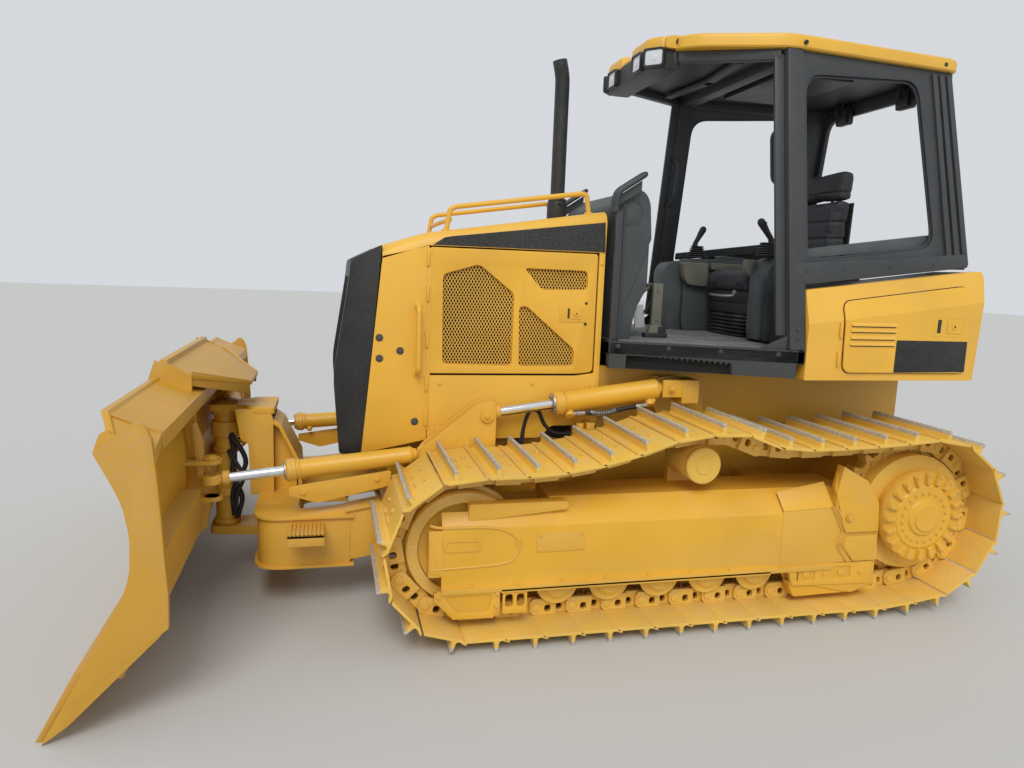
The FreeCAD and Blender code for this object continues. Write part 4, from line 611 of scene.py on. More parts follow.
def build_stage():
    """Floor, light and the camera at the photograph's angle."""
    scene = bpy.context.scene
    yaw, pitch, roll = (math.radians(a) for a in (CAMERA_YAW, CAMERA_PITCH, CAMERA_ROLL))
    ahead = Vector((-math.sin(yaw) * math.cos(pitch), -math.cos(yaw) * math.cos(pitch), -math.sin(pitch)))
    right = ahead.cross(Vector((0, 0, 1))).normalized()
    down = ahead.cross(right)
    turned_right = right * math.cos(roll) + down * math.sin(roll)
    turned_down = down * math.cos(roll) - right * math.sin(roll)
    data = bpy.data.cameras.new("camera")
    data.sensor_width = SENSOR_WIDTH
    data.lens = CAMERA_FOCUS * SENSOR_WIDTH / PHOTO_WIDTH
    data.clip_end = FAR_CLIP
    camera = bpy.data.objects.new("camera", data)
    matrix = Matrix((turned_right, -turned_down, -ahead)).transposed().to_4x4()
    matrix.translation = place(*CAMERA_PLACE)
    camera.matrix_world = matrix
    scene.collection.objects.link(camera)
    scene.camera = camera
    floor_mesh = bpy.data.meshes.new("floor")
    corners = [(a * FLOOR_REACH, b * FLOOR_REACH, 0) for a, b in ((-1, -1), (1, -1), (1, 1), (-1, 1))]
    floor_mesh.from_pydata(corners, [], [(0, 1, 2, 3)])
    floor = bpy.data.objects.new("floor", floor_mesh)
    scene.collection.objects.link(floor)
    pale = bpy.data.materials.new("pale_floor")
    pale.use_nodes = True
    set_inputs(pale.node_tree.nodes["Principled BSDF"], {"Base Color": (0.55, 0.55, 0.54, 1),
            "Roughness": 0.9})
    floor_mesh.materials.append(pale)
    world = bpy.data.worlds.new("studio")
    world.use_nodes = True
    set_inputs(world.node_tree.nodes["Background"], {"Color": (0.93, 0.96, 1.0, 1),
            "Strength": SKY_STRENGTH})
    scene.world = world
    light = bpy.data.lights.new("soft_sun", "SUN")
    light.energy = SUN_STRENGTH
    light.angle = math.radians(SUN_SPREAD)
    light.color = (1.0, 0.97, 0.92)
    lamp = bpy.data.objects.new("soft_sun", light)
    lamp.rotation_euler = (math.radians(-42), math.radians(14), 0)
    scene.collection.objects.link(lamp)
    scene.view_settings.view_transform = "Standard"


# Tracks
SHOES = 39
GROUND_PIN, SPROCKET_Z, SPROCKET_R, IDLER_X, IDLER_R = 98, 465, 344, 2200, 297
CARRIER_X, CARRIER_PIN = 1139, 850
SHOE_HALF, RIB_TOP = 255, 97.5


def arc(centre, radius, start, end, steps):
    """Points on a circle between two directions in degrees."""
    turns = [math.radians(start + (end - start) * step / steps) for step in range(steps + 1)]
    return [(centre[0] + radius * math.cos(t), centre[1] + radius * math.sin(t)) for t in turns]


def sag(low, end, steps=24):
    """A hanging line from its lowest point to an end."""
    return [(low[0] + (end[0] - low[0]) * s / steps, low[1] + (end[1] - low[1]) * (s / steps) ** 2)
            for s in range(steps + 1)]


def track_pins():
    """The places of the track's pins, evenly round its loop."""
    rise = SPROCKET_Z - SPROCKET_R - GROUND_PIN
    path = [(IDLER_X, GROUND_PIN), (165, GROUND_PIN)]
    path += arc((0, SPROCKET_Z), SPROCKET_R, 270 - math.degrees(rise / 165) * 2, 90, 48)[1:]
    path += sag((720, 776), (0, SPROCKET_Z + SPROCKET_R))[::-1][1:]
    path += sag((720, 776), (CARRIER_X - 130, CARRIER_PIN))[1:]
    path += sag((2040, GROUND_PIN + 2 * IDLER_R), (CARRIER_X + 130, CARRIER_PIN))[::-1]
    path += arc((IDLER_X, GROUND_PIN + IDLER_R), IDLER_R, 90, -90, 48)[:-1]
    closed = [Vector(p) for p in path + path[:1]]
    lengths = [(b - a).length for a, b in zip(closed, closed[1:])]
    step = sum(lengths) / SHOES
    pins = []
    walked = 0.0
    for index, length in enumerate(lengths):
        while len(pins) < SHOES and walked + length > step * len(pins) - 1e-6:
            pins.append(closed[index].lerp(closed[index + 1], (step * len(pins) - walked) / length))
        walked += length
    return pins


def track_forms():
    """Shoes, rubbed rib tips and links of the left track."""
    pins = track_pins()
    shoes, tips, links = Form(), Form(), Form()
    worn = bpy.context.scene.dozer_sizes.rib_wear * 1000
    for index, first in enumerate(pins):
        second = pins[(index + 1) % SHOES]
        length = (second - first).length
        along = (second - first) / length
        out = Vector((-along.y, along.x))

        def at(distance, height):
            return tuple(first + along * distance + out * height)

        rib = 0.72 * length
        low, high = MIDDLE - SHOE_HALF, MIDDLE + SHOE_HALF
        shoe = [(-9, 50), (-14, 44), (-10, 39), (6, 38), (0.9 * length, 38), (length - 4, 44),
                (length + 8, 51), (length + 8, 59), (length - 8, 55), (0.88 * length, 50), (rib + 15, 50),
                (rib + 9, 58), (rib + 8, 84), (rib - 8, 84), (rib - 9, 58), (rib - 15, 50), (8, 50)]
        shoes.prism("Y", [at(*spot) for spot in shoe], low, high, 1.2)
        tip = [(8.4, RIB_TOP - worn), (6.5, RIB_TOP), (-6.5, RIB_TOP), (-8.4, RIB_TOP - worn)]
        tips.prism("Y", [at(rib + a, height) for a, height in tip], low - 0.3, high + 0.3, 1.5)
        heads = []
        for share in (0.22, 0.50):
            for across in (-62, -38, 38, 62):
                if abs(across) == 62 or share > 0.3:
                    x, z = at(share * length, 50)
                    heads.append((x, MIDDLE + across * 1.25, z))
        shoes.bolts(heads, 10, 9, (out.x, 0, out.y), washer=False)
        for side in (-1, 1):
            middle = MIDDLE + side * 58
            halves = (([(-27, -14), (-14, -37), (0.56 * length, -37), (0.56 * length, 37.5), (-14, 37.5),
                    (-27, 16)], 0.33 * length, middle + side * 9),
                    ([(0.5 * length, -37), (length + 14, -37), (length + 27, -14), (length + 27, 16),
                    (length + 14, 37.5), (0.5 * length, 37.5)], 0.67 * length, middle - side * 9))
            for outline, centre, y in halves:
                hole = [at(centre + a, height) for a, height in ((-15, -8), (15, -8), (15, 25), (-15, 25))]
                outline = [at(*spot) for spot in outline]
                links.plate_with_holes("Y", outline, [fillet(hole, 13, 3)], y - 11, y + 11, 2)
            x, z = at(0, 0)
            links.rod((x, middle - side * 10, z), (x, middle + side * 26, z), 19, sides=16, edge=2)
        x, z = at(0, 0)
        links.rod((x, MIDDLE - 50, z), (x, MIDDLE + 50, z), 27, sides=14)
    return shoes, tips, links


def build_tracks():
    """Both tracks with their shoes, bolts, links and pins."""
    for side in ("left", "right"):
        shoes, tips, links = track_forms()
        if side == "right":
            for form in (shoes, tips, links):
                form.other_side()
        shoes.make("track_shoes_" + side, "track_yellow", stands_for=("track_" + side,))
        tips.make("rib_tips_" + side, "rubbed_rib")
        links.make("track_links_" + side, "track_yellow")


# Undercarriage
def idler_sleeve(form):
    """Sleeve of a roller frame's front end: slot, bolt, ridge and cover plate."""
    slot = fillet([(2140, 402), (2296, 402), (2296, 456), (2140, 456)], 27, 6)
    form.plate_with_holes("Y", slot, [fillet([(2152, 413), (2284, 413), (2284, 445), (2152, 445)], 16, 6)],
            955, 961, 1.5)
    form.ring((1975, 0, 428), "Y", 17, 9, 955, 961, 28, 1.5)
    ridge = [(2352, 520), (2300, 508), (2100, 500), (2010, 470), (1976, 420), (1990, 372), (2060, 340),
            (2352, 330)]
    form.tube([(p.x, 956, p.z) for p in soft_curve([(x, 0, z) for x, z in ridge], 6)], 6, 8)
    form.box((1690, 1900), (955, 961), (384, 470), 2)
    form.bolts([(x, 961, z) for x in (1704, 1886) for z in (396, 458)], 6, 4)


def rear_block(form):
    """Rear block of a roller frame with its ridges and caps."""
    form.prism("Y", [(736, 230), (736, 512), (482, 522), (406, 398), (436, 340), (368, 254)], 930, 960, 5)
    form.loft([[(736, 960, 512), (734, 958, 516), (740, 900, 590), (744, 900, 586)],
            [(482, 960, 522), (480, 958, 526), (500, 900, 632), (504, 900, 628)]], 2)
    for step in range(3):
        shift = step * 15
        form.tube([(486 - shift, 962, 528 - shift * 0.3), (414 - shift * 0.8, 962, 400),
                (444 - shift * 0.9, 962, 340), (378 - shift * 0.5, 962, 256)], 5, 8, 16)
    form.beam((738, 958, 236), (738, 958, 512), 16, 10, 2)
    upper = fillet([(470, 600), (446, 690), (383, 690), (304, 640), (242, 543), (230, 402), (412, 402)],
            [20, 20, 14, 14, 24, 6, 20], 5)
    form.loft([[(p[0], 972 if p[1] < 545 else 972 - (p[1] - 545) * 0.35, p[1]) for p in upper],
            [(p[0], 925, p[1]) for p in upper]], 4)
    form.prism("Y", fillet([(404, 382), (234, 382), (216, 258), (352, 258), (412, 334)], [26, 6, 14, 8, 16],
            5), 925, 972, 5)
    form.bolts([(392, 972, 470)], 14, 8)
    form.prism("Y", fillet([(2190, 520), (2190, 596), (1760, 596), (1760, 560)], 14), 880, 938, 4)


def roller_guards(form):
    """Lower rail of a roller frame with the roller windows and the guards."""
    form.box((780, 2050), (930, 969), (216, 234), 3)
    holes = [fillet([(x - 48, 172), (x + 48, 172), (x + 48, 232), (x - 48, 232)], 12) for x in (590, 400)]
    form.plate_with_holes("Y", fillet([(690, 246), (660, 152), (232, 138), (236, 252)], 14), holes, 938,
            962, 3)
    for x in (590, 400):
        form.rod((x, 930, 204), (x, 956, 204), 34, 26, 24)
        form.rod((x, 956, 204), (x, 962, 204), 18, sides=20, edge=2)
    form.prism("Y", fillet([(672, 166), (236, 142), (300, 98), (640, 92)], 12), 900, 950, 5)
    form.bolts([(x, 962, 200) for x in (494, 300)], 9, 6)
    form.bolts([(x, 960, 250) for x in range(980, 2200, 200)], 8, 6)
    guard = [(2330, 226), (2330, 196), (2250, 110), (2080, 106), (2052, 140), (2052, 240)]
    window = fillet([(2290, 212), (2232, 138), (2100, 134), (2084, 212)], 18, 4)
    form.plate_with_holes("Y", guard, [window], 936, 963, 4)
    form.prism("Y", guard, 930, 948, 2)
    form.bolts([(2066, 963, 160), (2066, 963, 215), (2312, 963, 216)], 9, 9)
    bracket = fillet([(1934, 120), (2040, 120), (2040, 236), (1934, 236)], 12)
    form.plate_with_holes("Y", bracket,
            [fillet([(x - 17, 150), (x + 17, 150), (x + 17, 206), (x - 17, 206)], 14) for x in (1962,
            2012)], 940, 962, 3)
    form.prism("Y", fillet([(2300, 300), (2352, 320), (2352, 470), (2300, 494)], 8), 905, 960, 4)


def roller_frames():
    """Both roller frames with what is bolted and welded on them."""
    soften("track_frames", "frame_yellow", 5)
    form = Form()
    for fit in (idler_sleeve, rear_block, roller_guards):
        fit(form)
    form.both_sides().make("roller_frame_trim", "frame_yellow")


def wheels():
    """Idlers and rollers."""
    form = Form()
    idler = (IDLER_X, MIDDLE, GROUND_PIN + IDLER_R)
    form.lathe(idler, "Y", [(-90, 40), (-90, 195), (-92, 238), (-84, 243), (-34, 243), (-30, 261),
            (30, 261), (34, 243), (84, 243), (92, 238), (90, 195), (62, 190), (50, 120), (78, 96), (96, 60),
            (98, 20)], 64)
    form.both_sides().make("idler_wheels", "track_yellow", stands_for=("idlers",))
    form = Form()
    for order in range(7):
        x = 343 + 240 * order
        form.lathe((x, MIDDLE, 215.5), "Y", [(-126, 20), (-126, 46), (-118, 60), (-101, 62), (-100, 94),
                (-97, 96), (-86, 94), (-84, 80), (-42, 79), (-40, 56), (40, 56), (42, 79), (84, 80),
                (86, 94), (97, 96), (100, 94), (101, 62), (118, 60), (126, 46), (126, 20)], 32)
        form.bolts([(x + 26 * math.cos(a), 926, 215.5 + 26 * math.sin(a)) for a in (0.8, 2.4, 3.9, 5.5)], 6,
                5)
    form.lathe((CARRIER_X, MIDDLE, 730), "Y", [(-140, 30), (-92, 32), (-90, 80), (-84, 82.5), (84, 82.5),
            (92, 80), (94, 60), (110, 60), (112, 80), (116, 83), (128, 83), (132, 78), (132, 40), (136, 36),
            (136, 4)], 48)
    form.both_sides().make("rollers", "track_yellow", stands_for=("bottom_rollers", "carrier_rollers"))


def final_drives():
    """Sprockets with their bolts, and the ribbed covers of the final drives."""
    soften("sprockets", "track_yellow", 3)
    form = Form()
    for order in range(25):
        turn = 2 * math.pi * (order + 0.5) / 25
        form.bolts([(292 * math.cos(turn), MIDDLE + 30, SPROCKET_Z + 292 * math.sin(turn))], 11, 12)
    form.make("sprocket_bolts_left", "track_yellow")
    form = Form()
    form.lathe((0, 0, SPROCKET_Z), "Y", [(905, 190), (906, 206), (940, 206), (946, 222), (970, 222),
            (984, 214), (985, 160), (992, 150), (992, 92), (1002, 84), (1006, 66), (1012, 62), (1012, 4)],
            72)
    for order in range(20):
        turn = 2 * math.pi * order / 20
        ray = Vector((math.cos(turn), 0, math.sin(turn)))
        side = Vector((-ray.z, 0, ray.x))
        rib = ((984, (158, -13), (219, -17), (219, 17), (158, 13)), (1003, (164, -9), (212, -12), (212, 12),
                (164, 9)))
        form.loft([[Vector((0, y, SPROCKET_Z)) + ray * r + side * w for r, w in row] for y, *row in rib], 2)
        form.bolts([Vector((0, 1002, SPROCKET_Z)) + ray * 206], 8, 6)
        half = turn + math.pi / 20
        form.bolts([(120 * math.cos(half), 992, SPROCKET_Z + 120 * math.sin(half))], 8, 6)
    form.both_sides().make("final_drive_hubs", "frame_yellow", stands_for=("final_drive_covers",))


def build_undercarriage():
    """Roller frames, rollers, idlers, sprockets and final drives."""
    roller_frames()
    wheels()
    final_drives()


# Main frame
def build_chassis():
    """Main frame, brackets, engine block and hitch."""
    soften("main_frame", "frame_yellow", 4)
    soften("engine_block", "iron", 8)


# Hood
def hood_top_z(x):
    """Height of the hood's ridge at a place along it."""
    if x > 2311:
        return 1714 + (x - 2311) * (1647 - 1714) / (2518 - 2311)
    return 1714 + (2311 - x) * (1851 - 1714) / (2311 - 1462)


def hood_section(x, low):
    """Cross outline of the hood's top sheet at a place along it."""
    top = hood_top_z(x)
    half = HOOD_Y
    side = [(half, low), (half, top - 62), (half - 4, top - 40), (half - 14, top - 22),
            (half - 32, top - 9), (half - 60, top - 3), (half * 0.5, top)]
    whole = side + [(-y, z) for y, z in reversed(side)]
    return [(x, y, z) for y, z in whole]


DOOR_SCREENS = [[(2244, 1526), (2075, 1577), (1905, 1446), (1906, 1103), (2239, 1111)],
        [(1879, 1386), (1845, 1391), (1598, 1187), (1599, 1105), (1872, 1103)],
        [(1862, 1567), (1548, 1564), (1543, 1475), (1771, 1468)],]


def hood_and_nose():
    """Hood top with its stripe, and the nose's side panels with their handles and bolts."""
    form = Form()
    form.loft([hood_section(x, low) for x, low in ((2518, 1600), (2420, 1622), (2311, 1652), (1900, 1652),
            (1462, 1652))], 2)
    form.make("hood_sheet", "yellow", stands_for=("hood_top",))
    form = Form()
    stripe = [(2292, 1655), (2240, 1690), (2207, 1697), (1471, 1795), (1464, 1655)]
    form.prism("Y", stripe, HOOD_Y - 2, HOOD_Y + 0.8)
    form.both_sides().make("hood_stripe", "black")
    form = Form()
    form.prism("Y", fillet([(2307, 1650), (2517, 1597), (2606, 693), (2307, 753)], 4), HOOD_Y - 18, HOOD_Y,
            2)
    form.box((2296, 2312), (HOOD_Y - 4, HOOD_Y + 3), (800, 1640), 2)
    for z in (820, 985, 1190, 1400, 1560):
        form.rod((2311, HOOD_Y + 3, z), (2311, HOOD_Y + 3, z + 72), 8, sides=14, edge=1)
    form.both_sides().make("nose_sides", "yellow", stands_for=("nose_panels",))
    form = Form()
    form.tube([(2355, HOOD_Y - 2, 1383), (2355, HOOD_Y + 52, 1372), (2355, HOOD_Y + 52, 1080),
            (2355, HOOD_Y - 2, 1068)], 12, 12, 34)
    form.rod((2355, HOOD_Y - 1, 1383), (2355, HOOD_Y + 4, 1383), 20, edge=1)
    form.rod((2355, HOOD_Y - 1, 1068), (2355, HOOD_Y + 4, 1068), 20, edge=1)
    form.both_sides().make("nose_handles", "yellow")
    form = Form()
    form.bolts([(2528, HOOD_Y, 1230), (2434, HOOD_Y, 1171), (2527, HOOD_Y, 1135), (2362, HOOD_Y, 840)], 13,
            6)
    form.both_sides().make("nose_bolts", "iron")


def grille():
    """The grille's housing and blades."""
    form = Form()
    side = [(2518, 1646), (2607, 693), (2705, 691), (2732, 1053), (2664, 1489), (2656, 1577)]
    form.prism("Y", fillet(side, [10, 4, 20, 60, 40, 30], 6), HOOD_Y - 62, HOOD_Y, 5)
    form.both_sides()
    form.prism("Y", fillet([(2530, 1640), (2600, 1500), (2664, 1489), (2656, 1577)], 12), -HOOD_Y + 60,
            HOOD_Y - 60, 5)
    form.prism("Y", fillet([(2607, 693), (2705, 691), (2709, 760), (2604, 760)], 8), -HOOD_Y + 60,
            HOOD_Y - 60, 3)
    form.box((2590, 2640), (-HOOD_Y + 60, HOOD_Y - 60), (700, 1560), 0)
    form.make("grille_frame", "black", stands_for=("radiator_grille",))
    form = Form()
    for order in range(24):
        z = 772 + order * 30
        x = 2700 - abs(z - 1053) * (0.06 if z < 1053 else 0.155)
        form.prism("Y", [(x, z), (x - 46, z + 16), (x - 48, z + 11), (x - 4, z - 6)], -HOOD_Y + 58,
                HOOD_Y - 58)
    for y in (-240, 0, 240):
        form.box((2640, 2660), (y - 8, y + 8), (760, 1500), 2)
    form.make("grille_blades", "black")


def engine_doors():
    """Both engine doors with latch, screens and what lies dark behind them."""
    for side, sign in (("left", 1), ("right", -1)):
        body = "engine_door_" + side
        form = Form()
        outline = fillet([(2302, 1645), (2302, 1068), (1580, 1068), (1500, 1078), (1500, 1645)],
                [8, 10, 30, 20, 16])
        holes = [fillet(hole, 22, 5) for hole in DOOR_SCREENS]
        form.plate_with_holes("Y", outline, holes, HOOD_Y - 18, HOOD_Y, 2)
        for hole in holes:
            centre = sum((Vector(p) for p in hole), Vector((0, 0))) / len(hole)
            inner = [tuple(centre + (Vector(p) - centre) * 0.985) for p in hole]
            wider = [tuple(centre + (Vector(p) - centre) * 1.04) for p in hole]
            form.plate_with_holes("Y", wider, [inner], HOOD_Y - 21, HOOD_Y - 16)
        form.prism("Y", fillet([(1538, 1318), (1538, 1402), (1680, 1402), (1680, 1318)], 10), HOOD_Y - 2,
                HOOD_Y + 2.5, 1)
        form.prism("Y", fillet([(1566, 1332), (1566, 1388), (1626, 1388), (1626, 1332)], 6), HOOD_Y,
                HOOD_Y + 5, 1.5)
        form.rod((1596, HOOD_Y + 4, 1360), (1596, HOOD_Y + 10, 1360), 14, edge=1.5)
        form.make("engine_door_%s_sheet" % side, "yellow", body, (body,), mirror=sign < 0)
        form = Form()
        form.rod((1596, HOOD_Y + 9, 1360), (1596, HOOD_Y + 11, 1360), 4)
        form.box((1630, 1640), (HOOD_Y + 2, HOOD_Y + 4), (1336, 1384), 1)
        form.bolts([(1548, HOOD_Y + 2, 1410), (1548, HOOD_Y + 2, 1310)], 5, 3)
        form.make("door_latch_" + side, "black", body, mirror=sign < 0)
        form = Form()
        for hole in DOOR_SCREENS:
            form.screen("Y", hole, HOOD_Y - 16, bpy.context.scene.dozer_sizes.screen_pitch * 1000)
        form.make("door_screens_" + side, "yellow", body, mirror=sign < 0)
        # A near-black sheet behind each screen: painted shade standing in for the dark engine bay.
        form = Form()
        for hole in DOOR_SCREENS:
            form.prism("Y", hole, HOOD_Y - 28, HOOD_Y - 26)
        form.make("door_screen_shade_" + side, "painted_shade_black", body, mirror=sign < 0)


def side_panels():
    """Panels below and behind the engine doors."""
    form = Form()
    lower = [(2304, 753), (2304, 1058), (1585, 1058), (1500, 1070), (1492, 1070), (1492, 1650),
            (1463, 1650), (1463, 812), (1700, 812), (1750, 753)]
    form.prism("Y", fillet(lower, [4, 3, 10, 4, 4, 3, 3, 4, 20, 20]), HOOD_Y - 18, HOOD_Y, 2)
    form.bolts([(x, HOOD_Y, z) for x, z in ((2250, 800), (2250, 1020), (1800, 1020), (1478, 1600),
            (1478, 900))], 8, 5)
    form.box((1520, 1532), (HOOD_Y, HOOD_Y + 10), (985, 1010), 1)
    form.box((1495, 1507), (HOOD_Y, HOOD_Y + 10), (985, 1010), 1)
    form.both_sides().make("side_panels", "yellow", stands_for=("lower_side_panels",))


def exhaust():
    """Exhaust pipe with its collar and bent tip."""
    form = Form()
    base = hood_top_z(1590) - 40
    form.tube([(1590, 0, base), (1590, 0, 2540), (1609, 0, 2618)], 37, 24, 60)
    form.ring((1590, 0, 0), "Z", 52, 36, base, 1916, 32, 3)
    form.ring((1590, 0, 0), "Z", 47, 36, 1916, 1930, 32, 2)
    form.box((1580, 1600), (44, 60), (1900, 1912), 2)
    form.make("exhaust_pipe_shown", "black", stands_for=("exhaust_stack",))


def hood_rails():
    """Handrails along the hood."""
    form = Form()
    for sign in (-1, 1):
        y = sign * 323
        form.tube([(2221, y, 1720), (2204, y, 1822), (2180, y, 1836), (1562, y, 1932), (1540, y, 1925),
                (1525, y, 1840)], 12, 14, 26)
        for x in (2221, 1525):
            form.rod((x, y, hood_top_z(x) - 8), (x, y, hood_top_z(x) + 3), 22, edge=1)
    form.tube([(2208, 323, 1776), (2204, 323, 1776), (2210, 0, 1776), (2204, -323, 1776)], 11, 12)
    form.make("hood_handrails", "yellow", stands_for=("hood_rails",))


def build_hood():
    """Hood top, nose, grille, doors with their screens, and side panels."""
    hood_and_nose()
    grille()
    engine_doors()
    side_panels()
    exhaust()
    hood_rails()


# Canopy
def side_half(x, z):
    """Outer face of the canopy's side: it leans in upwards and narrows to the rear."""
    front = 815 - 0.1656 * (z - 1236)
    rear = 715 - 0.2183 * (z - 1640)
    return front + (rear - front) * min(max((640 - x) / 975, 0), 1)


def on_side(co):
    """Lays an upright panel on the canopy's leaning side."""
    back = min(max((300 - co.x) / 600, 0), 1)
    return (co.x + back * (co.z - 1640) * 0.045, co.y + side_half(co.x, co.z), co.z)


def on_rear(co):
    """Leans a crosswise panel forward as the rear posts do."""
    return (co.x + (co.z - 1640) * 0.045, co.y, co.z)


def inset(outline, distance):
    """A closed outline, given anticlockwise, moved inwards."""
    moved = []
    for index, spot in enumerate(Vector(point) for point in outline):
        first = (spot - Vector(outline[index - 1])).normalized()
        second = (Vector(outline[(index + 1) % len(outline)]) - spot).normalized()
        inward = Vector((-first.y - second.y, first.x + second.x)).normalized()
        moved.append(tuple(spot + inward * (distance / max(0.3, inward.dot(Vector((-first.y, first.x)))))))
    return moved


ROOF_PLAN = [(1130, -375), (1130, 375), (1060, 440), (660, 597), (-355, 512), (-355, -512), (660, -597),
        (1060, -440)]
ROOF_RINGS = [(24, 2623), (6, 2625), (0, 2632), (0, 2668), (3, 2680), (14, 2689), (40, 2693), (110, 2694),
        (124, 2699), (138, 2700)]


def lamp_forms(black, lens, places):
    """A framed lamp turned to each of the given ways: centre, turn, half width, low and high edge."""
    rim = bpy.context.scene.dozer_sizes.lamp_frame * 1000
    for centre, turn, half, low, high in places:
        def turned(co, centre=centre, turn=math.radians(turn)):
            return (centre[0] + co.x * math.cos(turn) - co.y * math.sin(turn),
                    centre[1] + co.x * math.sin(turn) + co.y * math.cos(turn), co.z)
        outer = fillet([(-half, low), (half, low), (half, high), (-half, high)], 16)
        inner = fillet([(rim - half, low + rim), (half - rim, low + rim), (half - rim, high - rim),
                (rim - half, high - rim)], 12)
        black.bend = lens.bend = turned
        black.plate_with_holes("X", outer, [inner], -6, 15, 2.5)
        black.prism("X", outer, -16, -5, 2)
        lens.prism("X", inner, -5, 9, 2)
        for step in range(1, 6):
            y = -half + 9 + (2 * half - 18) * step / 6
            lens.prism("X", [(y - 2, low + 14), (y + 2, low + 14), (y + 2, high - 14), (y - 2, high - 14)],
                    8.5, 10.5, 0.8)
        lens.rod((9, 0, (low + high) / 2), (12, 0, (low + high) / 2), 16, sides=20, edge=1)
        black.bend = lens.bend = None


def canopy_frame():
    """Pillars, beams and window frames, with the ceiling, crossbar and sills inside."""
    form = Form(on_side, [((x, 0, 0), (1, 0, 0)) for x in (450, 300, 150, 0, -150)])
    form.prism("Z", [(598, -80), (684, -80), (684, 0), (598, 0)], 1236.5, 2624, 9)
    form.prism("Z", [(684, -66), (727, -58), (727, -42), (684, -34)], 1300, 2600, 3)
    window = [(600, 1540), (600, 2610), (-352, 2610), (-352, 1652)]
    glass = fillet([(577, 1642), (577, 2516), (-132, 2560), (-164, 1742)], [16, 95, 95, 90], 7)
    form.plate_with_holes("Y", window, [glass], -40, -14, 3)
    lip = [tuple(Vector((205, 2110)) + (Vector(p) - Vector((205, 2110))) * 0.975) for p in glass]
    form.plate_with_holes("Y", glass, [lip], -34, -26, 1)
    form.prism("Y", [(652, 1532), (652, 1636), (-335, 1716), (-350, 1650)], -58, 1, 9)
    for x in (-340, -290, -240):
        form.prism("Z", [(x - 14, -52), (x + 18, -52), (x + 18, 0), (x - 14, 0)], 1660, 2604, 7)
    form.prism("Z", [(-352, -56), (-200, -56), (-200, -22), (-352, -22)], 1660, 2604, 6)
    form.bolts([(640, -1, z) for z in (1290, 1330)], 9, 6)
    form.bolts([(x, -1, 1600 + (600 - x) * 0.081) for x in (590, 380, 120, -140)], 8, 5)
    form.both_sides()
    form.bend, form.folds = None, []
    for y in (-1, 1):
        form.beam((640, y * 545, 2594), (-320, y * 462, 2594), 58, 58, 6)
        form.beam((690, y * 540, 2598), (1110, y * 328, 2598), 45, 50, 6)
    form.box((605, 675), (-555, 555), (2568, 2624), 6)
    form.box((-350, -292), (-465, 465), (2568, 2624), 6)
    form.box((1090, 1138), (-330, 330), (2572, 2622), 5)
    form.bend = on_rear
    form.plate_with_holes("X", [(-690, 1640), (690, 1640), (494, 2600), (-494, 2600)],
            [fillet([(-600, 1735), (600, 1735), (430, 2540), (-430, 2540)], 80, 6)], -352, -326, 3)
    form.bend = None
    form.make("canopy_shown", "charcoal", stands_for=("canopy_frame",))
    form = Form()
    form.prism("Z", [(1100, -330), (1100, 330), (640, 545), (-330, 470), (-330, -470), (640, -545)], 2610,
            2621, 2)
    form.box((100, 520), (-300, 300), (2580, 2612), 14)
    form.make("canopy_ceiling", "black")
    form = Form()
    form.beam((770, -30, 2590), (820, 395, 2590), 46, 20, 4)
    form.beam((770, 30, 2589), (820, -395, 2589), 46, 18, 4)
    form.make("roof_crossbar", "interior_grey")
    form = Form(on_side)
    form.prism("Y", fillet([(566, 1662), (566, 1704), (-190, 1806), (-190, 1744)], 8), -96, -44, 5)
    form.prism("Y", fillet([(60, 1730), (60, 1752), (-90, 1772), (-90, 1750)], 4), -100, -94, 1.5)
    form.both_sides().make("window_sill", "interior_grey")


def roof():
    """Domed roof with its lamp pods and visor."""
    form = Form()
    rings = [[(x, y, z) for x, y in fillet(inset(ROOF_PLAN, gap), max(6, 70 - gap * 0.4), 6)] for gap,
            z in ROOF_RINGS]
    form.loft(rings, 0)
    for y in (-1, 1):
        outline = [(1110, y * 66), (1250, y * 66), (1250, y * 258), (1194, y * 324), (1110, y * 328)]
        rings = []
        for gap, z in ((10, 2626), (0, 2634), (0, 2672), (8, 2688), (24, 2697), (40, 2699)):
            rings.append([(x, yy, z) for x, yy in fillet(inset(outline if y > 0 else outline[::-1], gap),
                    18, 4)])
        form.loft(rings)
    form.prism("Z", [(1100, -80), (1238, -80), (1238, 80), (1100, 80)], 2627, 2658, 9)
    for y in (-1, 1):
        form.prism("Y", fillet([(1064, 2634), (1186, 2634), (1186, 2684), (1150, 2694), (1064, 2694)], 10),
                y * 322, y * 345, 5)
        form.tube([(1100, y * 346, 2690), (1092, y * 347, 2668), (1070, y * 347, 2652)], 3.5, 8, 8)
    form.box((-355, 640), (-3, 3), (2695, 2700), 1)
    form.make("roof_shown", "yellow", stands_for=("roof",))


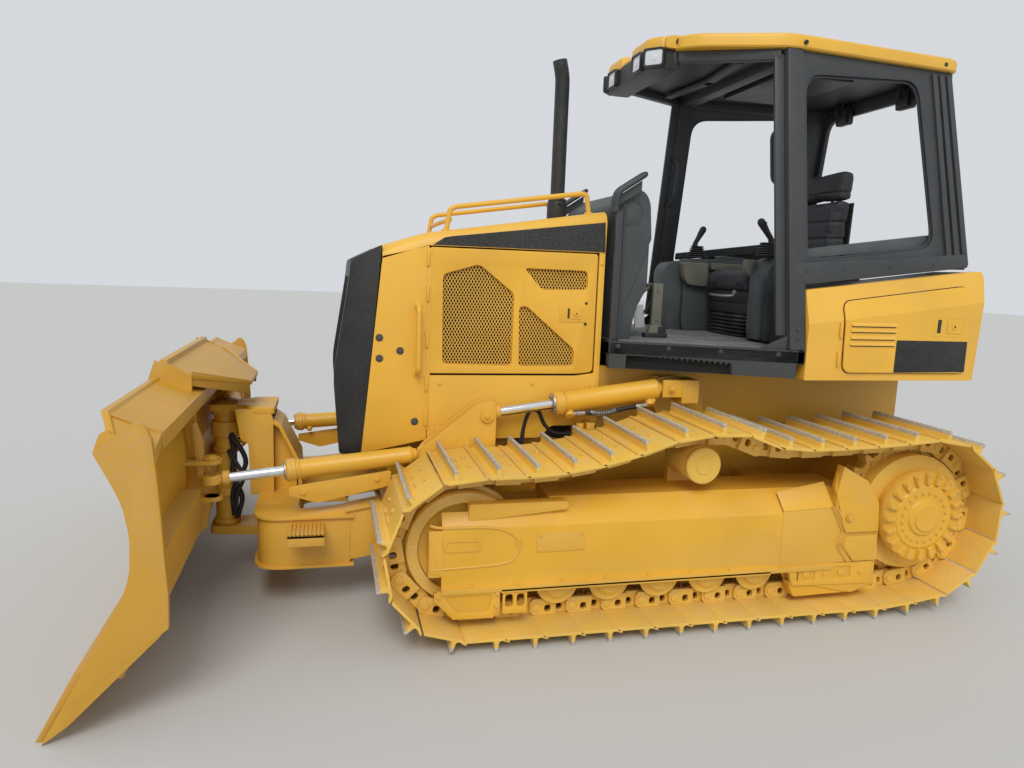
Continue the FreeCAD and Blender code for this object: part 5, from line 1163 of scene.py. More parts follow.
def work_lamps():
    """Lamps in front and behind, with the roof's side bolts."""
    form = Form()
    for y in (-1, 1):
        form.rod((1120, y * 343, 2665), (1120, y * 348, 2665), 17, sides=20, edge=1)
        form.rod((1120, y * 348, 2665), (1120, y * 353, 2665), 9, sides=6, edge=1)
        form.rod((600, y * 585, 2650), (600, y * 602, 2650), 10, sides=14, edge=1)
        form.rod((-250, y * 505, 2652), (-250, y * 524, 2652), 10, sides=14, edge=1)
    housing = [(1100, -326), (1187, -326), (1246, -262), (1246, 262), (1187, 326), (1100, 326)]
    form.prism("Z", housing, 2546, 2640, 7)
    lens = Form()
    places = [((1252, side * 169), 0, 59, 2550, 2640) for side in (-1, 1)]
    places += [((1224, side * 300), side * 44, 54, 2550, 2638) for side in (-1, 1)]
    places += [((-268, side * 250), 180, 60, 2490, 2588) for side in (-1, 1)]
    lamp_forms(form, lens, places)
    for side in (-1, 1):
        form.box((-268, -235), (side * 250 - 44, side * 250 + 44), (2500, 2580), 8)
        form.rod((-248, side * 250, 2570), (-248, side * 250, 2618), 9, sides=12)
        form.tube([(-240, side * 250, 2540), (-215, side * 250, 2545), (-208, side * 262, 2590),
                (-212, side * 270, 2612)], 5, 8, 12)
    form.make("lamp_housings", "black", stands_for=("work_lamps",))
    lens.make("lamp_lenses", "lamp")


def front_posts():
    """Grab rails on the pillars and the posts beside the dash."""
    form = Form()
    rail = [(78, 2270), (148, 2242), (148, 2030), (78, 1990)]
    form.tube([(678, side_half(678, z) - gap, z) for gap, z in rail], 9, 12, 26)
    for gap, z in (rail[0], rail[-1]):
        y = side_half(678, z) - gap
        form.rod((678, y + 4, z), (678, y - 3, z), 17, sides=18, edge=1.5)
    form.box((1398, 1434), (440, 462), (1238, 1850), 4)
    form.box((1424, 1439), (437, 466), (1120, 1240), 3)
    form.rod((1389, 452, 1240), (1389, 452, 1880), 7, sides=12)
    form.tube([(1434, 450, 1862), (1428, 450, 1936), (1289, 450, 2028), (1289, 405, 2030),
            (1425, 405, 1940), (1434, 405, 1850)], 12.5, 14, 30)
    form.rod((1434, 450, 1840), (1434, 450, 1868), 16, sides=16, edge=2)
    form.rod((1434, 405, 1840), (1434, 405, 1868), 16, sides=16, edge=2)
    form.both_sides().make("front_posts", "charcoal", stands_for=("grab_rails",))
    form = Form()
    form.prism("Y", [(1300, 2000), (1412, 1925), (1412, 1880), (1300, 1950)], 424, 430, 2)
    form.both_sides().make("post_plates", "interior_grey")


def build_canopy():
    """Pillars, rails, window frames, roof, visor, lamps and front posts."""
    canopy_frame()
    roof()
    work_lamps()
    front_posts()


# Operator station
def on_sill(co):
    """Lays an upright strip along the platform's slanting front edge."""
    return (co.x, co.y + 470 + 0.43125 * (1440 - co.x), co.z)


def sewn(shape, planes, depth, width):
    """Presses sewn channels into a cushion where it meets the given planes."""
    for vert in shape.data.vertices:
        for spot, normal in planes:
            gap = abs((vert.co - Vector(spot)).dot(Vector(normal)))
            if gap < width:
                vert.co -= vert.normal * depth * (1 - gap / width) ** 2


def cushion(name, rings, edge, node, seams):
    """A stuffed seat piece: a plain block swollen by Blender's cloth, then sewn."""
    cap = bpy.context.scene.dozer_sizes.cushion_swell
    form = Form()
    form.loft(rings, edge)
    piece = form.make(name, "seat_fabric", stands_for=(node,) if node else (), smooth=180)
    bpy.context.view_layer.objects.active = piece
    remesh = piece.modifiers.new("grid", "REMESH")
    remesh.mode, remesh.voxel_size = "VOXEL", 0.006
    bpy.context.view_layer.update()
    solved = bpy.data.meshes.new_from_object(piece.evaluated_get(bpy.context.evaluated_depsgraph_get()))
    piece.modifiers.clear()
    piece.data = solved
    before = [vert.co.copy() for vert in solved.vertices]
    cloth = piece.modifiers.new("stuffing", "CLOTH")
    cloth.settings.quality = 4
    cloth.settings.mass = 0.3
    cloth.settings.tension_stiffness = cloth.settings.compression_stiffness = 15
    cloth.settings.bending_stiffness = 1.5
    cloth.settings.use_pressure = True
    cloth.settings.uniform_pressure_force = 4
    cloth.settings.effector_weights.gravity = 0
    cloth.point_cache.frame_start, cloth.point_cache.frame_end = 1, 20
    for step in range(1, 21):
        bpy.context.scene.frame_set(step)
    shaped = bpy.data.meshes.new_from_object(piece.evaluated_get(bpy.context.evaluated_depsgraph_get()))
    piece.modifiers.clear()
    for vert, rest in zip(shaped.vertices, before):
        move = vert.co - rest
        if move.length > cap:
            vert.co = rest + move.normalized() * cap
    piece.data = shaped
    bpy.context.scene.frame_set(1)
    sewn(piece, seams, 0.009, 0.014)
    finer = piece.modifiers.new("finer", "SUBSURF")
    finer.levels = finer.render_levels = 1
    done = bpy.data.meshes.new_from_object(piece.evaluated_get(bpy.context.evaluated_depsgraph_get()))
    piece.modifiers.clear()
    piece.data = done
    done.shade_smooth()
    if not done.materials or done.materials[0] is None:
        done.materials.clear()
        done.materials.append(material("seat_fabric"))
    return piece


def slab(x, y, z, lean=0.0):
    """Two rings of a block whose upper end stands further back."""
    return [[(x[0] - shift, y[0], h), (x[1] - shift, y[0], h), (x[1] - shift, y[1], h),
            (x[0] - shift, y[1], h)] for h, shift in ((z[0], 0.0), (z[1], lean))]


def platform():
    """Platform with its toothed step edge, and the floor mat."""
    form = Form()
    plan = [(1440, -470), (1440, 470), (640, 815), (600, 815), (600, 748), (-325, 700), (-325, -700),
            (600, -748), (600, -815), (640, -815)]
    form.prism("Z", plan, 1168, 1235, 7)
    narrow = [spot for spot in plan if spot not in ((600, 815), (600, -815))]
    form.prism("Z", inset(narrow, 34), 1101, 1172, 3)
    form.bend = on_sill
    teeth = [(1436, 1236), (642, 1236), (642, 1104), (905, 1104), (908, 1146)]
    count = 19
    for step in range(count):
        x = 908 + (1357 - 908) * step / count
        z = 1148 + 23 * step / count
        teeth += [(x + 5, z + 12), (x + 18, z + 12), (x + 22, z)]
    teeth += [(1360, 1172), (1362, 1104), (1436, 1104)]
    form.prism("Y", teeth[::-1], -26, 0, 0)
    form.bolts([(x, 0, 1212) for x in (1400, 1180, 960, 720)], 8, 5)
    form.prism("Y", [(684, 1236), (684, 1300), (790, 1236)], -24, -10, 2)
    form.bend = None
    form.both_sides().make("platform_shown", "charcoal", stands_for=("operator_platform",))
    form = Form()
    form.prism("Z", [(1416, -438), (1416, 438), (700, 745), (620, 745), (620, -745), (700, -745)], 1234,
            1237, 1)
    for row in range(21):
        for column in range(-11, 12):
            x, y = 720 + row * 33, column * 58 + (29 if row % 2 else 0)
            if abs(y) < 700 - (x - 700) * 0.43:
                form.prism("Z", [(x - 11, y - 5), (x + 11, y + 5), (x + 9, y + 9), (x - 13, y - 1)], 1236,
                        1239)
    form.box((90, 620), (-284, 284), (1234, 1237), 1)
    form.make("floor_mat", "floor_grey")


def dash():
    """Dash with its gauges."""
    form = Form()
    cowl = [(1408, 1236.5), (1418, 1400), (1411, 1881), (1309, 1965), (1261, 1946), (1237, 1900),
            (1222, 1735), (1222, 1728)]
    form.prism("Y", fillet(cowl, [4, 30, 30, 40, 25, 40, 6, 4], 5), -398, 398, 14)
    lower = [(1406, 1237), (1406, 1726), (1226, 1726), (1224, 1500), (1254, 1452), (1290, 1330),
            (1300, 1237)]
    form.prism("Y", fillet(lower, [3, 6, 10, 30, 30, 40, 10], 4), -384, 384, 12)
    for y in (-1, 1):
        form.ring((1330, 0, 1850), "Y", 62, 54, y * 394, y * 401, 40, 1.5)
        form.rod((1330, y * 396, 1850), (1330, y * 399.5, 1850), 50, sides=40, edge=1.5)
        form.bolts([(1390, y * 385, z) for z in (1680, 1300)], 7, 4, (0, y, 0))
    form.loft([[(1224, y, 1742), (1224, y, 1742.5), (1243, y, 1930), (1250, y, 1930), (1250, y, 1742)]
            for y in (-300, 300)], 0)
    form.make("cowl_shown", "interior_grey", stands_for=("dash_column",))
    form = Form()
    form.loft([[(1216, y, 1770), (1230, y, 1905), (1240, y, 1905), (1230, y, 1770)] for y in (-210, 210)], 3)
    for y, z, reach in ((-120, 1845, 42), (0, 1850, 34), (110, 1850, 34)):
        x = 1216 + (z - 1770) * 0.104
        form.lathe((x, y, z), "X", [(2, 4), (-7, reach), (-4, reach + 5), (6, reach + 5)], 32)
    for y in (-170, -140, 60, 150, 175):
        form.box((1212, 1222), (y - 8, y + 8), (1782, 1798), 2)
    form.make("dash_gauges", "rubber")


def pedals():
    """Pedals with their bracket."""
    form = Form()
    form.box((1078, 1132), (238, 262), (1290, 1516), 4)
    form.prism("Y", [(1060, 1237), (1156, 1237), (1140, 1300), (1072, 1300)], 232, 268, 3)
    form.bolts([(1105, 262, z) for z in (1480, 1330)], 8, 5)
    form.rod((1105, 230, 1500), (1105, -230, 1500), 14, sides=16)
    form.box((1082, 1128), (-262, -238), (1238, 1510), 4)
    for y in (170, -40):
        form.tube([(1105, y, 1500), (1150, y, 1470), (1190, y, 1390)], 9, 10, 20)
    form.make("pedal_bracket", "console_liner")
    form = Form()
    for y in (196, -40):
        form.loft([[(1140, y + s * 5, 1286), (1196, y + s * 5, 1280), (1210, y + s * 5, 1396),
                (1156, y + s * 5, 1404)] for s in (-1, 1)], 3)
    form.make("pedal_plates", "blank_plate")
    form = Form()
    form.box((1044, 1170), (226, 276), (1237, 1262), 6)
    form.box((1052, 1096), (230, 272), (1262, 1296), 5)
    form.tube([(1150, 205, 1360), (1120, 215, 1420), (1112, 232, 1480)], 9, 10, 20)
    form.make("pedal_feet", "rubber")


def consoles():
    """Consoles beside the seat, and the rail in front of it."""
    form = Form()
    for side, x, low, high in ((1, 612, 298, 466), (-1, 694, 286, 458)):
        outline = [(74, 1238), (x - 12, 1238), (x, 1300), (x, 1590), (x - 40, 1664), (505, 1664),
                (225, 1650), (74, 1606)]
        form.prism("Y", fillet(outline, [10, 12, 20, 30, 30, 16, 60, 30], 5), side * low, side * high, 15)
        form.prism("Y", fillet([(120, 1610), (430, 1652), (430, 1690), (110, 1662)], 14), side * (low + 36),
                side * (high - 36), 12)
        form.prism("Y", fillet([(240, 1300), (570, 1300), (580, 1500), (240, 1500)], 30), side * (high - 4),
                side * (high + 3), 3)
    form.make("consoles_shown", "interior_grey", stands_for=("side_consoles",))
    form = Form()
    form.prism("Y", fillet([(660, 1238), (770, 1238), (806, 1420), (812, 1590), (776, 1636), (660, 1650)],
            [4, 20, 60, 34, 34, 10], 5), -462, -318, 16)
    form.box((598, 640), (386, 462), (1250, 1560), 10)
    form.make("console_noses", "interior_grey")
    form = Form()
    form.prism("Y", fillet([(560, 1500), (690, 1510), (716, 1560), (716, 1640), (560, 1640)],
            [20, 40, 24, 12, 8], 5), -330, -246, 12)
    form.prism("Y", fillet([(560, 1560), (620, 1570), (636, 1600), (636, 1654), (560, 1654)],
            [20, 24, 14, 12, 8], 5), 256, 300, 8)
    form.box((300, 540), (-296, -246), (1600, 1640), 10)
    form.make("console_liners", "console_liner")
    form = Form()
    form.tube([(590, -150, 1462), (604, -90, 1458), (604, 60, 1458), (596, 130, 1462)], 7, 10, 16)
    form.rod((600, 150, 1478), (612, 150, 1478), 14, sides=20, edge=2)
    form.make("seat_rail", "steel")


def levers():
    """A lever on each console: pleated boot and bent grip."""
    form = Form()
    for side in (-1, 1):
        x, y = 575, side * 380
        for step in range(6):
            z = 1671 + step * 12
            reach = 58 - step * 3.6
            form.lathe((x, y, z), "Z", [(0, 4), (1, reach - 5), (5, reach), (8, reach - 1), (11, reach - 9),
                    (12, 4)], 28)
        lean = 1 if side > 0 else -0.7
        grip = [(x - 24 * lean, y, 1742), (x - 16 * lean, y, 1764), (x + 6 * lean, y, 1790),
                (x + 30 * lean, y, 1822), (x + 46 * lean, y, 1842), (x + 54 * lean, y, 1850)]
        reach = (17, 14, 15, 19, 20, 8)
        for step in range(5):
            form.rod(grip[step], grip[step + 1], reach[step], reach[step + 1], 18)
            form.ball(grip[step + 1], reach[step + 1] * 0.98)
        form.rod((x + 34 * lean, y + 12, 1832), (x + 34 * lean, y + 26, 1838), 7, sides=12, edge=1)
    form.make("levers_shown", "rubber", stands_for=("control_levers",))


def seat():
    """Seat with its bellows, squab, backrest and headrest."""
    form = Form()
    for step in range(6):
        z = 1238 + step * 20
        reach = 190 - (3 if step in (0, 5) else 0)
        rings = []
        for grow, h in ((-14, z), (0, z + 7), (0, z + 12), (-14, z + 20)):
            rings.append([(386 + a, b, h) for a,
                    b in fillet([(-reach - grow, -reach - grow), (reach + grow, -reach - grow),
                    (reach + grow, reach + grow), (-reach - grow, reach + grow)], 40)])
        form.loft(rings)
    form.box((110, 556), (-222, 222), (1362, 1424), 12)
    form.box((106, 560), (-228, 228), (1420, 1488), 16)
    form.box((150, 200), (228, 236), (1380, 1404), 4)
    form.rod((430, 222, 1392), (430, 262, 1392), 14, sides=18, edge=2)
    form.rod((95, -150, 1560), (95, 150, 1560), 16, sides=14)
    form.make("seat_base_shown", "rubber", stands_for=("seat_base",))
    seams = [(place(x, 0, 1545), (1, 0, 0)) for x in (250, 420)] + [(place(0, y, 1545), (0, 1, 0))
            for y in (-165, 165)]
    cushion("squab_shown", slab((118, 586), (-226, 226), (1490, 1588)), 26, "seat_cushion", seams)
    back_seams = [(place(0, 0, z), (0.0, 0, 1)) for z in (1700, 1790, 1880)]
    back_seams += [(place(0, y, 1800), (0, 1, 0)) for y in (-160, 160)]
    cushion("backrest_shown", slab((-2, 86), (-222, 222), (1552, 2006), 22), 34, "seat_back", back_seams)
    cushion("headrest_shown", slab((-34, 52), (-212, 212), (1998, 2158), 6), 38, None,
            [(place(0, 0, 2040), (0, 0, 1))])
    form = Form()
    for y in (-80, 80):
        form.rod((5, y, 1960), (0, y, 2030), 8, sides=12)
    form.prism("Y", [(-38, 1560), (-20, 1560), (-42, 1990), (-52, 1990)], -200, 200, 5)
    form.make("seat_frame", "black")


def build_station():
    """Platform, dash, pedals, consoles, levers and seat."""
    platform()
    dash()
    pedals()
    consoles()
    levers()
    seat()


# Rear body
def on_fender(co):
    """Lays an upright panel on the fender, whose upper part leans in above a crease."""
    crease = 1357 + (597 - co.x) * 0.13
    return (co.x, co.y + FENDER_Y - 45 * max(0.0, co.z - crease) / 145, co.z)


def fenders():
    """Fenders and the dark boxes behind them."""
    form = Form(on_fender, [((597, 0, 1357), Vector((0.13, 0, 1)).normalized())])
    outline = [(594, 1096), (594, 1514), (-380, 1634), (-386, 1600), (-372, 1481), (-356, 1096)]
    rounded = fillet(outline, [6, 16, 24, 10, 40, 8], 5)
    form.prism("Y", rounded, -62, 0, 0)
    form.bend = None
    form.loft([[(594, 752, 1102), (594, 812, 1102), (594, 812, 1357), (594, 768, 1500), (594, 752, 1500)],
            [(597, 752, 1102), (597, 798, 1102), (597, 798, 1357), (597, 756, 1498), (597, 752, 1500)]])
    form.both_sides().make("fenders_shown", "yellow", stands_for=("fenders",), smooth=14)
    form = Form()
    form.prism("Y", [(586, 1240), (586, 1508), (-362, 1630), (-362, 1240)], 482, 746, 8)
    form.both_sides().make("fender_boxes", "charcoal")


def service_doors():
    """A door in each fender with louvres, blank plate, latch, gap and hinges."""
    crease = [((597, 0, 1357), Vector((0.13, 0, 1)).normalized())]
    outline = [(410, 1466), (-290, 1560), (-298, 1440), (-290, 1134), (398, 1134)]
    for side, sign in (("left", 1), ("right", -1)):
        body = "service_door_" + side
        # A dark strip just behind the door's edge: painted shade in the gap round the door.
        gap = Form(on_fender, crease)
        gap.prism("Y", fillet([(413, 1469.5), (-293, 1564), (-301.5, 1440), (-293.5, 1130.5),
                (401, 1130.5)], [48, 58, 10, 42, 47], 6), 0.4, 1.4)
        form = Form(on_fender, crease)
        form.prism("Y", fillet(outline, [45, 55, 10, 40, 45], 6), 1.6, 12, 3)
        for z in (1353, 1326, 1292, 1262):
            form.prism("X", [(11, z + 2), (20, z + 2), (19, z + 8), (11, z + 20)], 128, 376, 1.5)
        ring = fillet([(-88, 1312), (-262, 1312), (-262, 1412), (-88, 1412)], 16)
        form.plate_with_holes("Y", ring, [fillet([(-98, 1322), (-252, 1322), (-252, 1402), (-98, 1402)],
                12)], 11, 13, 0.7)
        dark = Form(on_fender, crease)
        # Thin black slits under each louvre: painted shadow.
        for z in (1353, 1326, 1292, 1262):
            dark.prism("Y", [(132, z - 3), (373, z - 3), (373, z + 1), (132, z + 1)], 11.5, 12.6)
        dark.prism("Y", fillet([(119, 1292), (-288, 1290), (-290, 1140), (119, 1136)], 6), 11.8, 12.8, 0.3)
        form.prism("Y", fillet([(-160, 1328), (-246, 1328), (-246, 1396), (-160, 1396)], 8), 11.5, 15, 1.5)
        form.rod((-200, 14, 1362), (-200, 18, 1362), 16, sides=24, edge=1.5)
        dark.rod((-200, 18, 1362), (-200, 19, 1362), 5, sides=12)
        dark.prism("Y", [(-104, 1330), (-124, 1330), (-124, 1394), (-104, 1394)], 11.5, 13, 0.5)
        hinge = Form(on_fender)
        for low, high in ((1300, 1370), (1165, 1235)):
            hinge.rod((424, 6, low), (424, 6, high), 7.5, sides=14, edge=1)
        for item in (form, dark, gap, hinge):
            if sign < 0:
                item.other_side()
        form.make("service_door_%s_sheet" % side, "yellow", body, (body,), 12)
        dark.make("service_door_%s_latch" % side, "black", body)
        gap.make("service_door_%s_gap" % side, "painted_shade_black")
        hinge.make("service_door_%s_hinge_trim" % side, "yellow")


def tank():
    """Tank with its cap and bolts."""
    form = Form()
    form.box((-425, -366), (-700, 700), (1102, 1578), 16)
    for y in (-500, 0, 500):
        form.box((-424.5, -421), (y - 210, y + 210), (1150, 1500), 0)
    form.make("tank_shown", "yellow", stands_for=("rear_tank",))
    form = Form()
    for y in (-1, 1):
        form.box((-425, -421), (y * 620 - 5, y * 620 + 5), (1160, 1480), 1)
    form.lathe((-396, 420, 1578), "Z", [(-4, 4), (-4, 24), (4, 26), (14, 26), (20, 22), (22, 4)], 28)
    form.box((-424.9, -424), (-150, 150), (1250, 1400), 0)
    form.bolts([(-424, y, z) for y in (-670, -250, 250, 670) for z in (1125, 1550)], 9, 0.9, (-1, 0, 0),
            washer=False)
    form.make("tank_fittings", "black")


def build_rear():
    """Fenders, service doors and tank."""
    fenders()
    service_doors()
    tank()


# Blade gear
def blade_back(z):
    """Place of the blade's rear skin at a height."""
    if z > 680:
        return 3333 + (z - 680) ** 2 * 105 / 380 ** 2
    if z > 460:
        return 3333 + (680 - z) ** 2 * 37 / 220 ** 2
    return 3370 + (460 - z) * 0.54


def push_frame():
    """Push frame: arms, ears, cross box, plates and tower."""
    form = Form()
    arm = [(1605, 352), (1605, 488), (1640, 500), (2525, 480), (2925, 436), (2925, 214), (2655, 224),
            (2000, 330), (1640, 340)]
    form.prism("Y", arm, 433, 527, 5)
    ear = fillet([(1996, 365), (1996, 961), (2086, 941), (2356, 722), (2356, 365)], [4, 42, 60, 50, 4], 6)
    form.prism("Y", ear, 508, 529, 3)
    form.prism("Y", ear, 431, 452, 3)
    form.box((2126, 2206), (438, 522), (365, 796), 3)
    plan = [(3065, 0), (3065, 531), (2656, 531), (2656, 429), (2900, 429), (2900, 0)]
    radii = [0, 120, 0, 0, 60, 0]
    form.prism("Z", fillet(plan, radii, 8), 212, 426, 2)
    wide = [(3079, 0), (3079, 545), (2640, 545), (2640, 420), (2886, 420), (2886, 0)]
    form.prism("Z", fillet(wide, [0, 132, 0, 0, 50, 0], 8), 426, 439, 2)
    form.prism("Z", fillet(wide, [0, 132, 0, 0, 50, 0], 8), 200, 213, 2)
    form.beam((2520, 482, 486), (2680, 482, 458), 116, 12, 2)
    side = [(3010, 430), (3010, 800), (3026, 846), (3186, 856), (3160, 700), (3126, 688), (3118, 430)]
    form.prism("Y", fillet(side, [2, 10, 10, 10, 30, 40, 2], 5), 124, 150, 4)
    form.prism("Y", fillet([(2905, 430), (2905, 590), (2975, 762), (3010, 790), (3010, 430)], 10), 60, 84, 4)
    form.loft([[(3010, y, 798), (2972, y, 772), (2886, y, 592), (2874, y, 430), (2892, y, 430),
            (2904, y, 588), (2986, y, 760), (3010, y, 778)] for y in (0, 152)], 3)
    form.prism("Z", fillet([(3320, 0), (3320, 75), (3150, 92), (3110, 152), (3003, 152), (3003, 0)],
            [0, 74, 50, 20, 10, 0], 7), 830, 862, 3)
    form.prism("Z", fillet([(3320, 0), (3320, 75), (3050, 110), (3050, 0)], [0, 74, 10, 0], 7), 212, 252, 3)
    form.lathe((3245, 0, 862), "Z", [(0, 66), (6, 64), (12, 56), (16, 20), (16, 4)], 36)
    form.both_sides().make("push_frame_shown", "frame_yellow", NODES["push_frame"]["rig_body"],
            ("push_frame",))


def push_frame_trim():
    """Swivel post, and the step, plates, bosses and bolts of the push frame."""
    soften("swivel_post", "frame_yellow", 3)
    form = Form()
    form.prism("Y", fillet([(2922, 540), (2800, 500), (2540, 556), (2477, 572), (2477, 640), (2922, 578)],
            10), 527, 540, 3)
    form.bolts([(2860, 540, 552), (2540, 540, 604)], 12, 9)
    for order in range(9):
        x = 2772 + order * 17
        form.prism("X", [(532, 397), (676, 397), (676, 410), (532, 410)], x, x + 7)
    form.box((2768, 2923), (528, 677), (388, 400), 1.5)
    form.prism("Y", [(2768, 352), (2923, 352), (2923, 400), (2768, 400)], 664, 677, 1.5)
    for x in (2790, 2890):
        form.prism("X", [(528, 330), (640, 386), (528, 386)], x, x + 10, 1)
    form.prism("Y", fillet([(2080, 500), (2260, 500), (2300, 620), (2120, 800)], 24), 527, 531, 1.5)
    for y in (-1, 1):
        form.lathe((2041, 480 + y * 58, 886), "Y", [(-4, 10), (-4, 31), (4, 31), (4, 10)], 28, 1.5)
        form.lathe((2320, 480 + y * 52, 700), "Y", [(-5, 8), (-5, 26), (5, 26), (5, 8)], 24, 1.5)
    form.bolts([(2041, 542, 886)], 13, 8)
    form.bolts([(2320, 532, 700)], 11, 7)
    form.lathe((1700, 480, 420), "Y", [(46, 12), (46, 70), (54, 70), (58, 62), (58, 36), (62, 32),
            (62, 10)], 36, 1.5)
    form.bolts([(1700 + 50 * math.cos(a), 538, 420 + 50 * math.sin(a)) for a in (0.6, 1.65, 2.7, 3.74, 4.8,
            5.84)], 7, 6)
    form.prism("Z", fillet([(2700, 438), (2880, 438), (2880, 520), (2700, 520)], 8), 437, 441, 1)
    form.bolts([(x, y, 441) for x in (2716, 2864) for y in (452, 506)], 7, 5, (0, 0, 1))
    form.prism("Z", fillet([(2930, 190), (3040, 190), (3040, 330), (2930, 330)], 10), 436, 441, 1)
    form.both_sides()
    form.make("push_frame_trim", "frame_yellow", NODES["push_frame"]["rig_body"])


def swivel():
    """Collars of the swivel post."""
    form = Form()
    for low, high, reach in ((846, 806, 66), (772, 700, 70), (640, 622, 62), (440, 400, 68), (278, 254, 64)):
        form.ring((3245, 0, 0), "Z", reach, 46, high, low, 40, 5)
    form.bolts([(3245 + 66 * math.cos(a), 66 * math.sin(a), 736) for a in (1.2, 1.9)], 8, 7, (0.3, 1, 0))
    form.lathe((3245, 0, 470), "X", [(20, 40), (20, 74), (34, 78), (52, 78), (54, 60)], 40, 2)
    form.make("swivel_collars", "frame_yellow", NODES["swivel_post"]["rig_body"])


def blade():
    """Blade with its end plates, ribs, lugs and the raised middle's brackets."""
    soften("blade", "blade_yellow_shaded", 4, 20)
    body = NODES["blade"]["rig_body"]
    form = Form()
    form.prism("Y", [(blade_back(250) + 3, 262), (blade_back(190) + 3, 196), (3400, 196), (3372, 262)], 170,
            1366, 3)
    form.loft([[(3438, 1240, 1054), (3438, 1240, 1036), (3280, 1240, 950), (3280, 1240, 990)],
            [(3436, 1372, 962), (3436, 1372, 946), (3286, 1372, 880), (3286, 1372, 936)]], 3)
    for y, wide in ((620, 20), (1246, 10)):
        form.loft([[(3436, y, 1046), (3436, y + wide, 1046), (3278, y + wide, 972), (3278, y, 972)],
                [(3440, y, 1053), (3440, y + wide, 1053), (3282, y + wide, 990), (3282, y, 990)]], 2)
    hump = [(3640, 3), (3392, 460), (3361, 555), (3356, 683), (3376, 790), (3412, 872), (3450, 958),
            (3430, 1016), (3404, 1024), (3397, 1010), (3368, 1001), (3347, 1018), (3341, 1044),
            (3322, 1050), (3299, 1033), (3284, 996), (3272, 859), (3262, 681), (3252, 466), (3256, 366),
            (3560, 60)]
    form.prism("Y", fillet(hump, [2, 30, 60, 80, 80, 80, 8, 14, 10, 14, 20, 16, 14, 20, 20, 40, 60, 80, 60,
            40, 20], 4), 1372, 1390, 3)
    form.prism("Y", [(3266, 640), (3266, 790), (3296, 872), (3310, 872), (3290, 640)], 512, 560, 4)
    form.lathe((3235, 550, 0), "Z", [(546, 6), (546, 30), (554, 32), (554, 6)], 24, 1)
    form.lathe((3235, 550, 0), "Z", [(714, 6), (714, 34), (722, 36), (722, 24), (730, 22), (730, 6)], 24, 1)
    form.bolts([(3262, 550, 714)], 6, 5, (0, 0, 1))
    form.both_sides()
    for sign in (-1, 1):
        form.beam((3318, sign * 508, 1054), (3118, sign * 176, 966), 14, 62, 3)
        form.prism("Y", [(3480, 1046), (3452, 1131), (3308, 1074), (3310, 920), (3350, 940)], sign * 504,
                sign * 519, 3)
    form.prism("X", fillet([(-130, 400), (130, 400), (130, 560), (-130, 560)], 30), 3290, 3308, 3)
    form.bolts([(3290, y, z) for y in (-105, 105) for z in (425, 535)], 11, 9, (-1, 0, 0))
    form.lathe((3260, -720, 840), "X", [(-46, 6), (-46, 28), (46, 28), (46, 6)], 24, 1.5)
    form.make("blade_trim", "blade_yellow_shaded", body)


def cutting_edge():
    """Cutting edge with its bolts."""
    soften("cutting_edge", "blade_yellow_shaded", 2)
    form = Form()
    out = Vector((1, 0, 0.54)).normalized()
    for y in range(-1290, 1300, 129):
        for z in (170, 70):
            x = 3392 + 0.54 * (460 - z) + 24
            spot = Vector((x, y, z))
            form.rod(spot - out * 3, spot + out * 1.6, 17, sides=18, edge=1)
    form.make("edge_bolts", "steel", NODES["cutting_edge"]["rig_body"])


def build_blade():
    """Push frame, swivel, blade and cutting edge."""
    push_frame()
    push_frame_trim()
    swivel()
    blade()
    cutting_edge()


